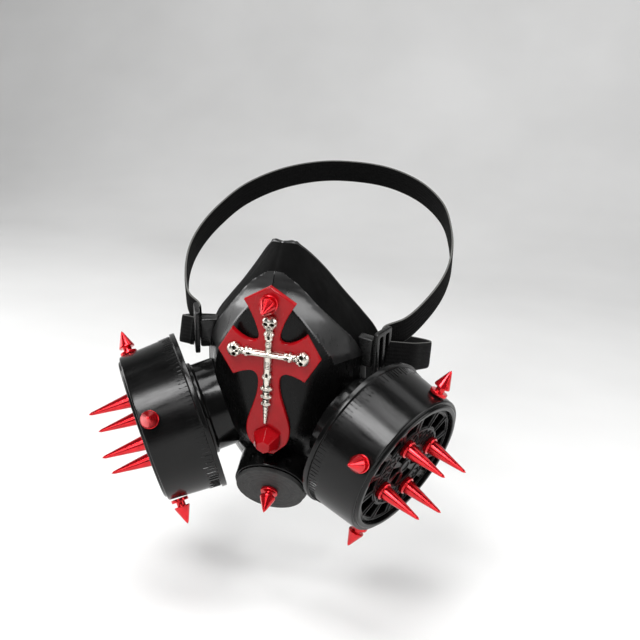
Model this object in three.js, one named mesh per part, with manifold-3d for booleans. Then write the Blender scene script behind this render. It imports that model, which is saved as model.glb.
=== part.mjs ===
// Costume half mask in the style of a respirator: a moulded facepiece, two spiked canisters, a cross plate
// with a cast skull cross, an exhalation valve and two head straps.
// Millimetres, +Z up, the wearer faces -Y. The origin is the middle of the face opening.
// The pieces are drawn in the mask's own frame, whose front panel stands upright, and are then tipped
// together by FRONT_TILT. In that frame z is measured from the crossing of the cross plate, and y from
// the front face of the cross plate.
import * as THREE from "three";
import Module from "manifold-3d";
import { mergeVertices } from "three/addons/utils/BufferGeometryUtils.js";

const wasm = await Module();
wasm.setup();

const deg = Math.PI / 180;

// Pose of the mask on an upright head
const FRONT_TILT = 10 * deg; // the front panel looks this far below level
const SEAT_BACK = 52; // middle of the face opening behind the front of the cross plate
const SEAT_DROP = 22; // and below the crossing of the cross plate

// Clearances
const GAP = 0.3; // between pieces that touch on the real mask

// Facepiece
const FACE_HEIGHT = 148; // nose bridge to chin
const FACE_HALF_WIDTH = 50; // at the jaw
const FACE_DEPTH = 57.5; // front panel to the rearmost rim
const NOSE_TOP = 49.3; // nose bridge above the crossing of the cross plate
const FACE_WALL = 2.2;
const FACE_ROWS_ALONG = 18; // facets from nose to chin
const FACE_ROWS_ACROSS = 20; // facets from rim to rim
const CORE_SIZE = 10; // how far the stand-in for the head reaches behind the rim

// Canisters
const CAN_FRONT_SPREAD = 71.4; // front centre from the middle plane
const CAN_FRONT_BACK = 9.2; // front centre behind the cross plate
const CAN_RISE = 38.7; // front centre above the chin
const CAN_DROP = FACE_HEIGHT - NOSE_TOP - CAN_RISE;
const CAN_OUTWARD = 60.8 * deg; // axis away from straight ahead
const CAN_DOWNWARD = 15.2 * deg; // axis below level, in the mask's own frame
const CAN_DEPTH = 32.7;
const CAN_FRONT_RADIUS = 40;
const CAN_TAPER = 1.9; // the wall's back is this much larger in radius than its front
const CAN_BACK_RADIUS = CAN_FRONT_RADIUS + CAN_TAPER;
const CAN_RIM_HEIGHT = 1.2; // rim bead round the back, above the wall
const CAN_RIM_RADIUS = CAN_BACK_RADIUS + CAN_RIM_HEIGHT;
const CAN_LIP_STEP = 2.8; // from the wall's front in to the lip
const CAN_LIP_RADIUS = CAN_FRONT_RADIUS - CAN_LIP_STEP;
const CAN_RIM_DEPTH = 2.6;
const CAN_LIP_HEIGHT = 1.3; // lip in front of the front bead
const CAN_BEVEL = 0.8; // on the rim, the front bead and the lip
const CAN_WALL = 2;
const CAN_SIDES = 36;
const PORT_SIDES = 24; // collars, housing and air ways
const PORT_RADIUS = 15; // air way through can, collar and facepiece

// Grilles
const GRILLE_RECESS = 2.4; // front of the grille behind the lip
const GRILLE_THICK = 1.8;
const GRILLE_RADIUS = CAN_LIP_RADIUS - CAN_WALL - GAP;
const GRILLE_SLOTS = [
  // ring of slots: number, inner and outer radius as shares of the grille's radius, share of pitch cut away
  { count: 6, inner: 0.13, outer: 0.34, open: 0.62 },
  { count: 14, inner: 0.7, outer: 0.92, open: 0.66 },
];

// Collars between the cans and the facepiece
const COLLAR_RADIUS = 24;
const COLLAR_REACH = 21; // from the can's back into the facepiece's outline, before it is cut to fit

// Spikes and studs
const LONG_SPIKE_LENGTH = 25;
const LONG_SPIKE_RADIUS = 3.9;
const LONG_SPIKE_FOOT_RADIUS = 4.8;
const LONG_SPIKE_FOOT_THICK = 2.4;
const LONG_SPIKE_INSET = 17; // centres of the four feet in from the grille's edge
const TREE_SPIKE_LENGTH = 14;
const TREE_SPIKE_RADIUS = 4.2;
const TREE_SPIKE_FOOT_RADIUS = 4.6;
const TREE_SPIKE_FOOT_THICK = 1.8;
const TREE_SPIKE_WAIST_RADIUS = 2.3;
const TREE_SPIKE_WAIST_LENGTH = 2.4;
const TREE_SPIKE_BACKSET = 6.8; // centre behind the can's lip
const SPIKE_BEVEL = 0.6; // on the foot and brow of each spike
const SPIKE_POINT = 0.7; // each point is blunted by this much
const SPIKE_SIDES = 10;
const LONG_SPIKES_PER_CAN = 4;
const LONG_SPIKE_TURN_RIGHT = 22.5 * deg; // first long spike, round the can from the back of the head
const LONG_SPIKE_TURN_LEFT = -9 * deg;
const FOOT_STUD_RADIUS = 7.6;
const FOOT_STUD_TIP_RADIUS = 3.6;
const FOOT_STUD_LENGTH = 9;
const FOOT_STUD_BAND = 2; // straight band round its foot
const FOOT_STUD_DOME = 0.4; // rise of its blunt end
const FOOT_STUD_SIDES = 6;

// Exhalation valve
const VALVE_BACK = 6.6; // centre of the disc's face behind the cross plate
const VALVE_RISE = 14.9; // centre of the disc's face above the chin
const VALVE_DROP = FACE_HEIGHT - NOSE_TOP - VALVE_RISE;
const VALVE_TILT = 25.2 * deg; // the disc looks this far below level, in the mask's own frame
const VALVE_DISC_RADIUS = 18.2;
const VALVE_DISC_THICK = 2.4;
const VALVE_DISC_BEVEL = 0.4;
const VALVE_DISC_SIDES = 32;
const HOUSING_RADIUS = 19.6;
const HOUSING_WALL = 6;
const HOUSING_REACH = 22; // from the disc's back into the facepiece's outline, before it is cut to fit
const HOUSING_NOTCHES = 12;
const HOUSING_NOTCH_DEPTH = 1.6;
const HOUSING_NOTCH_WIDTH = 3;
const HOUSING_NOTCH_LENGTH = 5;
const VALVE_PORT_RADIUS = 12;
const VALVE_SPIKE_LENGTH = 13.5;

// Cross plate
const CROSS_THICK = 3;
const CROSS_HALF_WIDTH = 25.8;
const CROSS_TOP = 35; // above the crossing
const CROSS_LIFT = 26.6; // lower tip above the centre of the valve
const CROSS_BOTTOM = VALVE_DROP - CROSS_LIFT; // below the crossing
const CROSS_CURVE_FACETS = 5; // along each bend of its outline
const TOP_SPIKE_INSET = 8.3; // centres of the spike and the stud in from the plate's tips
const FOOT_STUD_INSET = 8.9;
const TOP_SPIKE_RISE = CROSS_TOP - TOP_SPIKE_INSET;
const FOOT_STUD_DROP = CROSS_BOTTOM - FOOT_STUD_INSET;

// Cast skull cross
const SILVER_TURN = -1.7 * deg; // it was glued on slightly turned
const SILVER_ARM = 16.4; // crossing to the middle of a side skull
const SILVER_TOP = 16.2; // crossing to the middle of the top skull
const SILVER_CLEARANCE = 1.7; // tip to the foot stud
const SILVER_BOTTOM = FOOT_STUD_DROP - FOOT_STUD_RADIUS - SILVER_CLEARANCE; // crossing to the tip
const SILVER_SINK = 1.1; // axis of the bars in front of the plate
const BAR_RADIUS = 1.6;
const BAR_SIDES = 8;
const SKULL_RADIUS = 3.4;
const SKULL_LENGTH = 4.1; // half the skull's height
const SKULL_DEPTH = 2.7; // half its thickness, before the back is cut flat
const KNUCKLE_RADIUS = 2.6;
const KNUCKLE_DEPTH = 2.2;
const SPINE_KNUCKLE_AT = 0.31; // shares of SILVER_BOTTOM from the crossing
const SPINE_TAIL_FROM = 0.7;
const SPINE_BONE_LENGTH = 0.08;

// Straps and their fittings
const STRAP_WIDTH = 15;
const STRAP_THICK = 1.5;
const STRAP_STEPS = 38;
const HEAD_HALF_WIDTH = 76;
const NECK_HALF_WIDTH = 70;
const UPPER_STRAP_REACH = 191; // buckle to the back of the head, along the strap's plane
const LOWER_STRAP_REACH = 145; // buckle to the nape, along the strap's plane
const UPPER_STRAP_RISE = 10 * deg; // slope of the strap's plane, in the mask's own frame
const LOWER_STRAP_RISE = -23.6 * deg;
const BUCKLE_OUT = 50; // centre of the buckle from the middle plane
const BUCKLE_BACK = 40;
const BUCKLE_RISE = 49; // centre of the buckle above the front centres of the cans
const BUCKLE_DROP = CAN_DROP - BUCKLE_RISE;
const BUCKLE_TURN = 68 * deg; // its length away from the X direction
const BUCKLE_LENGTH = 15;
const BUCKLE_HEIGHT = 24;
const BUCKLE_THICK = 2.6;
const BUCKLE_BAR = 3;
const LUG_HEIGHT = 16;
const LUG_LENGTH = 6;
const LUG_REACH = 22; // from the buckle into the facepiece's outline, before it is cut to fit
const STRAP_LAYER = 1.6; // the lower strap lies this far outside the buckle's middle, the upper inside
const STRAP_TUCK = 4; // how far the route starts inside the buckle, before the strap is cut to fit
const UPPER_STRAP_LIFT = 4; // middle of the upper strap above the middle of the buckle
const LOWER_STRAP_SINK = 3.5; // middle of the lower strap below it

// Colours
const LOOKS = {
  rubber: { color: 0x0c0c0e, roughness: 0.28, metalness: 0 },
  plastic: { color: 0x111113, roughness: 0.4, metalness: 0 },
  redMetal: { color: 0xb3121c, roughness: 0.2, metalness: 0.7 },
  redAcrylic: { color: 0x96101a, roughness: 0.15, metalness: 0 },
  silver: { color: 0xb9b4a8, roughness: 0.3, metalness: 1 },
  greyDisc: { color: 0x4a4a4a, roughness: 0.6, metalness: 0 },
  webbing: { color: 0x0b0b0b, roughness: 0.8, metalness: 0 },
};

// Sections of the facepiece from nose to chin. Each runs from the middle of the front over the shoulder
// and the cheek wall to the rim. out: share of FACE_HALF_WIDTH; back: share of FACE_DEPTH behind the
// front panel; down: share of FACE_HEIGHT below the nose bridge. The front lies in the middle plane.
const FACE_ROWS = [
  // front: [back, down]; shoulder, cheek and rim: [out, back, down]
  { front: [0.35, 0], shoulder: [0.05, 0.37, 0.002], cheek: [0.1, 0.4, 0.006], rim: [0.13, 0.44, 0.014] },
  { front: [0.23, 0.03], shoulder: [0.1, 0.29, 0.037], cheek: [0.17, 0.41, 0.046], rim: [0.22, 0.55, 0.056] },
  { front: [0.1, 0.073], shoulder: [0.18, 0.18, 0.09], cheek: [0.29, 0.43, 0.11], rim: [0.36, 0.7, 0.13] },
  { front: [0.015, 0.124], shoulder: [0.25, 0.1, 0.14], cheek: [0.43, 0.45, 0.174], rim: [0.54, 0.81, 0.222] },
  { front: [0, 0.198], shoulder: [0.33, 0.073, 0.215], cheek: [0.57, 0.43, 0.252], rim: [0.72, 0.9, 0.306] },
  { front: [0, 0.3], shoulder: [0.38, 0.064, 0.31], cheek: [0.68, 0.43, 0.34], rim: [0.88, 0.965, 0.387] },
  { front: [0, 0.414], shoulder: [0.4, 0.056, 0.42], cheek: [0.74, 0.45, 0.448], rim: [0.98, 0.995, 0.482] },
  { front: [0, 0.536], shoulder: [0.39, 0.056, 0.543], cheek: [0.73, 0.48, 0.563], rim: [1, 1, 0.59] },
  { front: [0.016, 0.644], shoulder: [0.36, 0.09, 0.65], cheek: [0.7, 0.5, 0.67], rim: [0.96, 0.97, 0.7] },
  { front: [0.16, 0.74], shoulder: [0.32, 0.22, 0.745], cheek: [0.63, 0.55, 0.77], rim: [0.84, 0.92, 0.806] },
  { front: [0.31, 0.853], shoulder: [0.28, 0.35, 0.86], cheek: [0.49, 0.585, 0.88], rim: [0.62, 0.83, 0.907] },
  { front: [0.456, 0.955], shoulder: [0.16, 0.48, 0.957], cheek: [0.29, 0.6, 0.96], rim: [0.38, 0.77, 0.962] },
  { front: [0.71, 1], shoulder: [0.1, 0.715, 0.998], cheek: [0.19, 0.73, 0.993], rim: [0.26, 0.76, 0.984] },
];

// Directions of the side spikes round each can, in degrees: 0 is towards the back of the head, 90 is up
const SIDE_SPIKES_RIGHT = [67.5, 154, 248, 337.5];
const SIDE_SPIKES_LEFT = [49, 144, 233, 319];

// Half outline of the cross plate. out: share of CROSS_HALF_WIDTH; up: share of CROSS_TOP where it is
// above the crossing, and of CROSS_BOTTOM where it is below. bend holds the curve's control points.
const CROSS_OUTLINE = [
  { to: [0.5, 0.77] },
  { bend: [[0.295, 0.53]], to: [0.217, 0.31] },
  { bend: [[0.17, 0.17]], to: [0.333, 0.163] },
  { bend: [[0.51, 0.17]], to: [0.725, 0.33] },
  { to: [1, -0.015] },
  { to: [0.707, -0.245] },
  { bend: [[0.5, -0.192]], to: [0.345, -0.19] },
  { bend: [[0.2, -0.2]], to: [0.21, -0.306] },
  { bend: [[0.217, -0.47], [0.438, -0.63]], to: [0.438, -0.76] },
  { bend: [[0.438, -0.874]], to: [0.29, -0.927] },
  { to: [0.124, -1] },
];

// Balls that a skull is made of. Shares of SKULL_RADIUS across, of SKULL_LENGTH up and of SKULL_DEPTH
// forward; the second eye mirrors the first.
const SKULL_BALLS = {
  crown: { across: 0, up: 0.25, forward: 0, size: [1, 0.75, 1], facets: 9 },
  jaw: { across: 0, up: -0.5, forward: 0, size: [0.6, 0.5, 0.85], facets: 7 },
  eye: { across: 0.42, up: 0.12, forward: 0.95, size: [0.3, 0.25, 0.53], facets: 6 },
};

// Vertebrae of the lower arm. at: share of SILVER_BOTTOM from the crossing; flare: share of KNUCKLE_RADIUS
const VERTEBRAE = [
  { at: 0.48, flare: 1.15 },
  { at: 0.6, flare: 1.03 },
  { at: 0.71, flare: 0.91 },
];

// Routes of the straps from the right buckle round to the middle of the back. out: share of the head's or
// neck's half width; back: share of the strap's reach.
const UPPER_ROUTE = [
  { out: 0.782, back: 0.065 },
  { out: 0.91, back: 0.19 },
  { out: 0.985, back: 0.32 },
  { out: 1, back: 0.45 },
  { out: 0.955, back: 0.6 },
  { out: 0.84, back: 0.76 },
  { out: 0.6, back: 0.9 },
  { out: 0.3, back: 0.98 },
  { out: 0, back: 1 },
];
const LOWER_ROUTE = [
  { out: 0.912, back: 0.095 },
  { out: 0.965, back: 0.24 },
  { out: 1, back: 0.39 },
  { out: 0.98, back: 0.56 },
  { out: 0.88, back: 0.73 },
  { out: 0.68, back: 0.88 },
  { out: 0.37, back: 0.975 },
  { out: 0, back: 1 },
];

// Booleans

// Triangles that have shrunk to a line, as at the poles of a lathe, are left out
function withoutSlivers(index) {
  const kept = [];
  for (let k = 0; k < index.length; k += 3) {
    const [a, b, c] = index.slice(k, k + 3);
    if (a !== b && b !== c && c !== a) kept.push(a, b, c);
  }
  return kept;
}

function solidOf(geometry, matrix) {
  const bare = geometry.clone();
  bare.deleteAttribute("normal");
  bare.deleteAttribute("uv");
  if (matrix) bare.applyMatrix4(matrix);
  const merged = mergeVertices(bare, 1e-4);
  const vertProperties = new Float32Array(merged.attributes.position.array);
  const triVerts = new Uint32Array(withoutSlivers(merged.index.array));
  return new wasm.Manifold(new wasm.Mesh({ numProp: 3, vertProperties, triVerts }));
}

function placed(solid, matrix) {
  return solid.transform(matrix.elements);
}

function geometryOf(solid) {
  const mesh = solid.getMesh();
  const geometry = new THREE.BufferGeometry();
  geometry.setAttribute("position", new THREE.BufferAttribute(mesh.vertProperties, 3));
  geometry.setIndex(new THREE.BufferAttribute(mesh.triVerts, 1));
  geometry.computeVertexNormals();
  return geometry;
}

// Scene graph

const mask = new THREE.Group();
const ownFrame = new THREE.Group();
mask.add(ownFrame);
mask.rotation.x = FRONT_TILT;
ownFrame.position.set(0, -SEAT_BACK, SEAT_DROP);

function addPiece(parent, name, geometry, look) {
  const mesh = new THREE.Mesh(geometry, new THREE.MeshStandardMaterial(LOOKS[look]));
  mesh.name = name;
  parent.add(mesh);
  return mesh;
}

// Frames. Each is a matrix in the mask's own frame whose Z is the piece's axis.

function frameAt(origin, xAxis, zAxis) {
  const z = zAxis.clone().normalize();
  const x = xAxis.clone().addScaledVector(z, -xAxis.dot(z)).normalize();
  const y = new THREE.Vector3().crossVectors(z, x);
  return new THREE.Matrix4().makeBasis(x, y, z).setPosition(origin);
}

function canisterFrame(side) {
  const level = Math.cos(CAN_DOWNWARD);
  const axis = new THREE.Vector3(
    side * Math.sin(CAN_OUTWARD) * level,
    -Math.cos(CAN_OUTWARD) * level,
    -Math.sin(CAN_DOWNWARD),
  );
  const backward = new THREE.Vector3(Math.cos(CAN_OUTWARD), side * Math.sin(CAN_OUTWARD), 0);
  const front = new THREE.Vector3(side * CAN_FRONT_SPREAD, CAN_FRONT_BACK, -CAN_DROP);
  return frameAt(front, backward, axis);
}

function valveFrame() {
  const axis = new THREE.Vector3(0, -Math.cos(VALVE_TILT), -Math.sin(VALVE_TILT));
  return frameAt(new THREE.Vector3(0, VALVE_BACK, -VALVE_DROP), new THREE.Vector3(1, 0, 0), axis);
}

function groupAt(matrix) {
  const group = new THREE.Group();
  group.applyMatrix4(matrix);
  ownFrame.add(group);
  return group;
}

// Lathe round the Z axis from a profile of [radius, height] pairs
function latheZ(profile, sides) {
  const points = profile.map(([radius, height]) => new THREE.Vector2(radius, height));
  return new THREE.LatheGeometry(points, sides).rotateX(Math.PI / 2);
}

function tubeZ(innerRadius, outerRadius, from, to, sides) {
  const profile = [
    [innerRadius, from],
    [outerRadius, from],
    [outerRadius, to],
    [innerRadius, to],
    [innerRadius, from],
  ];
  return latheZ(profile, sides);
}

// Facepiece

const panelBack = CROSS_THICK + GAP;

function facePoint([out, back, down], side) {
  return new THREE.Vector3(
    side * out * FACE_HALF_WIDTH,
    panelBack + back * FACE_DEPTH,
    NOSE_TOP - down * FACE_HEIGHT,
  );
}

function faceGrid() {
  const sections = FACE_ROWS.map((row) => {
    const right = [row.shoulder, row.cheek, row.rim].map((share) => facePoint(share, 1));
    const left = [row.rim, row.cheek, row.shoulder].map((share) => facePoint(share, -1));
    const front = facePoint([0, ...row.front], 1);
    const curve = new THREE.CatmullRomCurve3([...left, front, ...right], false, "centripetal");
    return curve.getSpacedPoints(FACE_ROWS_ACROSS);
  });
  const columns = [];
  for (let j = 0; j <= FACE_ROWS_ACROSS; j += 1) {
    const curve = new THREE.CatmullRomCurve3(sections.map((points) => points[j]), false, "centripetal");
    columns.push(curve.getPoints(FACE_ROWS_ALONG));
  }
  return columns;
}

function gridNormals(columns) {
  const last = columns.length - 1;
  const end = columns[0].length - 1;
  return columns.map((column, j) => column.map((point, i) => {
    const across = new THREE.Vector3().subVectors(
      columns[Math.min(j + 1, last)][i], columns[Math.max(j - 1, 0)][i]);
    const along = new THREE.Vector3().subVectors(column[Math.min(i + 1, end)], column[Math.max(i - 1, 0)]);
    return across.cross(along).negate().normalize();
  }));
}

function shifted(columns, normals, distance) {
  return columns.map((column, j) => column.map(
    (point, i) => point.clone().addScaledVector(normals[j][i], distance),
  ));
}

// Closed mesh from a list of triangles, each of three points
function meshOf(triangles) {
  const positions = triangles.flat().flatMap((point) => [point.x, point.y, point.z]);
  const geometry = new THREE.BufferGeometry();
  geometry.setAttribute("position", new THREE.Float32BufferAttribute(positions, 3));
  return geometry;
}

function quad(a, b, c, d) {
  return [[a, b, c], [a, c, d]];
}

function sheetTriangles(columns, flip) {
  const triangles = [];
  for (let j = 0; j + 1 < columns.length; j += 1) {
    for (let i = 0; i + 1 < columns[j].length; i += 1) {
      const corners = [columns[j][i], columns[j][i + 1], columns[j + 1][i + 1], columns[j + 1][i]];
      triangles.push(...quad(...(flip ? corners.reverse() : corners)));
    }
  }
  return triangles;
}

// The rim of a grid as one loop of points
function rimLoop(columns) {
  const last = columns.length - 1;
  const end = columns[0].length - 1;
  const loop = columns[0].slice(0, end);
  for (let j = 0; j < last; j += 1) loop.push(columns[j][end]);
  for (let i = end; i > 0; i -= 1) loop.push(columns[last][i]);
  for (let j = last; j > 0; j -= 1) loop.push(columns[j][0]);
  return loop;
}

const faceColumns = faceGrid();
const faceNormals = gridNormals(faceColumns);

function shellSolid() {
  const inner = shifted(faceColumns, faceNormals, -FACE_WALL);
  const outerRim = rimLoop(faceColumns);
  const innerRim = rimLoop(inner);
  const triangles = [...sheetTriangles(faceColumns, false), ...sheetTriangles(inner, true)];
  outerRim.forEach((point, k) => {
    const next = (k + 1) % outerRim.length;
    triangles.push(...quad(point, innerRim[k], innerRim[next], outerRim[next]));
  });
  return solidOf(meshOf(triangles));
}

// Everything behind the facepiece's outer face, grown by the gap. Pieces that seat on it are cut with this.
function coreSolid() {
  const outer = shifted(faceColumns, faceNormals, GAP);
  const middle = new THREE.Vector3(0, panelBack + FACE_DEPTH + CORE_SIZE, -SEAT_DROP);
  const rim = rimLoop(outer);
  const triangles = sheetTriangles(outer, false);
  rim.forEach((point, k) => triangles.push([point, middle, rim[(k + 1) % rim.length]]));
  return solidOf(meshOf(triangles));
}

const core = coreSolid();

function boreCutter(frame, radius, from, to) {
  return solidOf(latheZ([[0, from], [radius, from], [radius, to], [0, to]], PORT_SIDES), frame);
}

function facepiece() {
  const canReach = CAN_DEPTH + COLLAR_REACH;
  return [1, -1]
    .map((side) => boreCutter(canisterFrame(side), PORT_RADIUS, -canReach, -CAN_DEPTH))
    .concat([boreCutter(valveFrame(), VALVE_PORT_RADIUS, -HOUSING_REACH - VALVE_DISC_THICK, 0)])
    .reduce((shell, bore) => shell.subtract(bore), shellSolid());
}

// Spikes, each standing on z = 0 and pointing along +Z

function longSpike() {
  const foot = LONG_SPIKE_FOOT_THICK;
  return latheZ([
    [0, 0],
    [LONG_SPIKE_FOOT_RADIUS, 0],
    [LONG_SPIKE_FOOT_RADIUS, foot - SPIKE_BEVEL],
    [LONG_SPIKE_RADIUS, foot],
    [SPIKE_POINT, LONG_SPIKE_LENGTH - SPIKE_POINT],
    [0, LONG_SPIKE_LENGTH],
  ], SPIKE_SIDES);
}

function treeSpike(length) {
  const foot = TREE_SPIKE_FOOT_THICK;
  const brow = foot + TREE_SPIKE_WAIST_LENGTH;
  return latheZ([
    [0, 0],
    [TREE_SPIKE_FOOT_RADIUS, 0],
    [TREE_SPIKE_FOOT_RADIUS, foot - SPIKE_BEVEL],
    [TREE_SPIKE_WAIST_RADIUS, foot],
    [TREE_SPIKE_WAIST_RADIUS, brow],
    [TREE_SPIKE_RADIUS, brow + SPIKE_BEVEL],
    [SPIKE_POINT, length - SPIKE_POINT],
    [0, length],
  ], SPIKE_SIDES);
}

function footStud() {
  return latheZ([
    [0, 0],
    [FOOT_STUD_RADIUS, 0],
    [FOOT_STUD_RADIUS, FOOT_STUD_BAND],
    [FOOT_STUD_TIP_RADIUS, FOOT_STUD_LENGTH - FOOT_STUD_DOME],
    [0, FOOT_STUD_LENGTH],
  ], FOOT_STUD_SIDES);
}

// Canisters, with the axis along +Z and the lip at z = 0

// Radius of the sloping side wall at a depth behind the lip
function canWallAt(depth) {
  const from = CAN_LIP_HEIGHT + CAN_BEVEL;
  return CAN_FRONT_RADIUS + (CAN_TAPER * (depth - from)) / (CAN_DEPTH - CAN_RIM_DEPTH - from);
}

function canisterBody() {
  const back = -CAN_DEPTH;
  const boreRadius = CAN_LIP_RADIUS - CAN_WALL;
  const seat = -GRILLE_RECESS - GRILLE_THICK - CAN_WALL;
  return latheZ([
    [PORT_RADIUS, back],
    [CAN_RIM_RADIUS - CAN_BEVEL, back],
    [CAN_RIM_RADIUS, back + CAN_BEVEL],
    [CAN_RIM_RADIUS, back + CAN_RIM_DEPTH - CAN_BEVEL],
    [CAN_BACK_RADIUS, back + CAN_RIM_DEPTH],
    [CAN_FRONT_RADIUS, -CAN_LIP_HEIGHT - CAN_BEVEL],
    [CAN_FRONT_RADIUS - CAN_BEVEL, -CAN_LIP_HEIGHT],
    [CAN_LIP_RADIUS + CAN_BEVEL, -CAN_LIP_HEIGHT],
    [CAN_LIP_RADIUS, 0],
    [boreRadius, 0],
    [boreRadius, seat],
    [CAN_FRONT_RADIUS - CAN_WALL, seat - CAN_WALL],
    [CAN_BACK_RADIUS - CAN_WALL, back + CAN_WALL],
    [PORT_RADIUS, back + CAN_WALL],
    [PORT_RADIUS, back],
  ], CAN_SIDES);
}

function arcPoints(radius, start, end, steps) {
  return Array.from({ length: steps + 1 }, (unused, k) => {
    const angle = start + ((end - start) * k) / steps;
    return new THREE.Vector2(radius * Math.cos(angle), radius * Math.sin(angle));
  });
}

function canisterGrille() {
  const radius = GRILLE_RADIUS;
  const disc = new THREE.Shape(arcPoints(radius, 0, 2 * Math.PI, CAN_SIDES).slice(1));
  for (const ring of GRILLE_SLOTS) {
    const pitch = (2 * Math.PI) / ring.count;
    const half = (pitch * ring.open) / 2;
    for (let k = 0; k < ring.count; k += 1) {
      const start = pitch * k - half;
      const end = pitch * k + half;
      const outer = arcPoints(ring.outer * radius, start, end, 2);
      const inner = arcPoints(ring.inner * radius, end, start, 2);
      disc.holes.push(new THREE.Path([...outer, ...inner]));
    }
  }
  return new THREE.ExtrudeGeometry(disc, { depth: GRILLE_THICK, bevelEnabled: false });
}

function canisterCollar(side) {
  const back = -CAN_DEPTH - COLLAR_REACH;
  const tube = tubeZ(PORT_RADIUS, COLLAR_RADIUS, back, -CAN_DEPTH - GAP, PORT_SIDES);
  return solidOf(tube, canisterFrame(side)).subtract(core);
}

// Direction round a can from its axis, the same on both sides of the mask: 0 is towards the back of the
// head and a quarter turn is up
function roundTheCan(side, angle) {
  return new THREE.Vector3(side * Math.cos(angle), Math.sin(angle), 0);
}

function addCanister(side, label, longSpikeTurn, sideSpikes) {
  const group = groupAt(canisterFrame(side));
  addPiece(group, `canister_body_${label}`, canisterBody(), "plastic");
  const grille = addPiece(group, `canister_grille_${label}`, canisterGrille(), "plastic");
  grille.position.z = -GRILLE_RECESS - GRILLE_THICK;
  addPiece(ownFrame, `canister_collar_${label}`, geometryOf(canisterCollar(side)), "plastic");
  for (let k = 0; k < LONG_SPIKES_PER_CAN; k += 1) {
    const outward = roundTheCan(side, longSpikeTurn + (2 * Math.PI * k) / LONG_SPIKES_PER_CAN);
    const spike = addPiece(group, `long_spike_${label}_${k + 1}`, longSpike(), "redMetal");
    spike.position.copy(outward).multiplyScalar(GRILLE_RADIUS - LONG_SPIKE_INSET).setZ(GAP - GRILLE_RECESS);
  }
  const stand = canWallAt(TREE_SPIKE_BACKSET + TREE_SPIKE_FOOT_RADIUS) + GAP;
  sideSpikes.forEach((angle, k) => {
    const outward = roundTheCan(side, angle * deg);
    const spike = addPiece(group, `tree_spike_${label}_${k + 1}`, treeSpike(TREE_SPIKE_LENGTH), "redMetal");
    spike.position.copy(outward).multiplyScalar(stand).setZ(-TREE_SPIKE_BACKSET);
    spike.quaternion.setFromUnitVectors(new THREE.Vector3(0, 0, 1), outward);
  });
}

// Exhalation valve, with the axis along +Z and the disc's face at z = 0

function valveDisc() {
  return latheZ([
    [0, -VALVE_DISC_THICK],
    [VALVE_DISC_RADIUS, -VALVE_DISC_THICK],
    [VALVE_DISC_RADIUS, -VALVE_DISC_BEVEL],
    [VALVE_DISC_RADIUS - VALVE_DISC_BEVEL, 0],
    [0, 0],
  ], VALVE_DISC_SIDES);
}

function valveHousing() {
  const front = -VALVE_DISC_THICK - GAP;
  const frame = valveFrame();
  const tube = tubeZ(HOUSING_RADIUS - HOUSING_WALL, HOUSING_RADIUS, front - HOUSING_REACH, front, PORT_SIDES);
  const notch = new THREE.BoxGeometry(HOUSING_NOTCH_DEPTH * 2, HOUSING_NOTCH_WIDTH, HOUSING_NOTCH_LENGTH);
  notch.translate(HOUSING_RADIUS, 0, front - HOUSING_NOTCH_LENGTH);
  let housing = solidOf(tube, frame);
  for (let k = 0; k < HOUSING_NOTCHES; k += 1) {
    const turn = new THREE.Matrix4().makeRotationZ((2 * Math.PI * k) / HOUSING_NOTCHES);
    housing = housing.subtract(solidOf(notch, frame.clone().multiply(turn)));
  }
  return housing.subtract(core);
}

function addValve() {
  addPiece(ownFrame, "valve_housing", geometryOf(valveHousing()), "plastic");
  const group = groupAt(valveFrame());
  addPiece(group, "valve_disc", valveDisc(), "greyDisc");
  const spike = addPiece(group, "valve_spike", treeSpike(VALVE_SPIKE_LENGTH), "redMetal");
  spike.position.z = GAP;
}

// Cross plate. Its frame has X to the right, Y up and Z out of the front face.

function crossPoint([out, up], side) {
  return [side * out * CROSS_HALF_WIDTH, up * (up > 0 ? CROSS_TOP : CROSS_BOTTOM)];
}

function crossPlate() {
  const shape = new THREE.Shape();
  shape.moveTo(0, CROSS_TOP);
  const draw = (step, side) => {
    const to = crossPoint(step.to, side);
    const bends = (step.bend ?? []).map((bend) => crossPoint(bend, side)).flat();
    if (bends.length === 4) shape.bezierCurveTo(...bends, ...to);
    else if (bends.length === 2) shape.quadraticCurveTo(...bends, ...to);
    else shape.lineTo(...to);
  };
  CROSS_OUTLINE.forEach((step) => draw(step, 1));
  const back = CROSS_OUTLINE.map((step, k) => ({
    to: k > 0 ? CROSS_OUTLINE[k - 1].to : [0, 1],
    bend: step.bend && [...step.bend].reverse(),
  })).reverse();
  shape.lineTo(...crossPoint(CROSS_OUTLINE.at(-1).to, -1));
  back.forEach((step) => draw(step, -1));
  const options = { depth: CROSS_THICK, bevelEnabled: false, curveSegments: CROSS_CURVE_FACETS };
  return new THREE.ExtrudeGeometry(shape, options).translate(0, 0, -CROSS_THICK);
}

function ball(radii, centre, facets) {
  const sphere = new THREE.SphereGeometry(1, facets, facets - 2);
  return solidOf(sphere, new THREE.Matrix4().makeScale(...radii).setPosition(...centre));
}

// Round bar, cone or flare along +Y
function taper(fromRadius, toRadius, from, to) {
  const rod = new THREE.CylinderGeometry(toRadius, fromRadius, to - from, BAR_SIDES);
  return solidOf(rod, new THREE.Matrix4().makeTranslation(0, (from + to) / 2, SILVER_SINK));
}

function knuckle(at) {
  return ball([KNUCKLE_RADIUS, KNUCKLE_RADIUS, KNUCKLE_DEPTH], [0, at, SILVER_SINK], BAR_SIDES);
}

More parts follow.
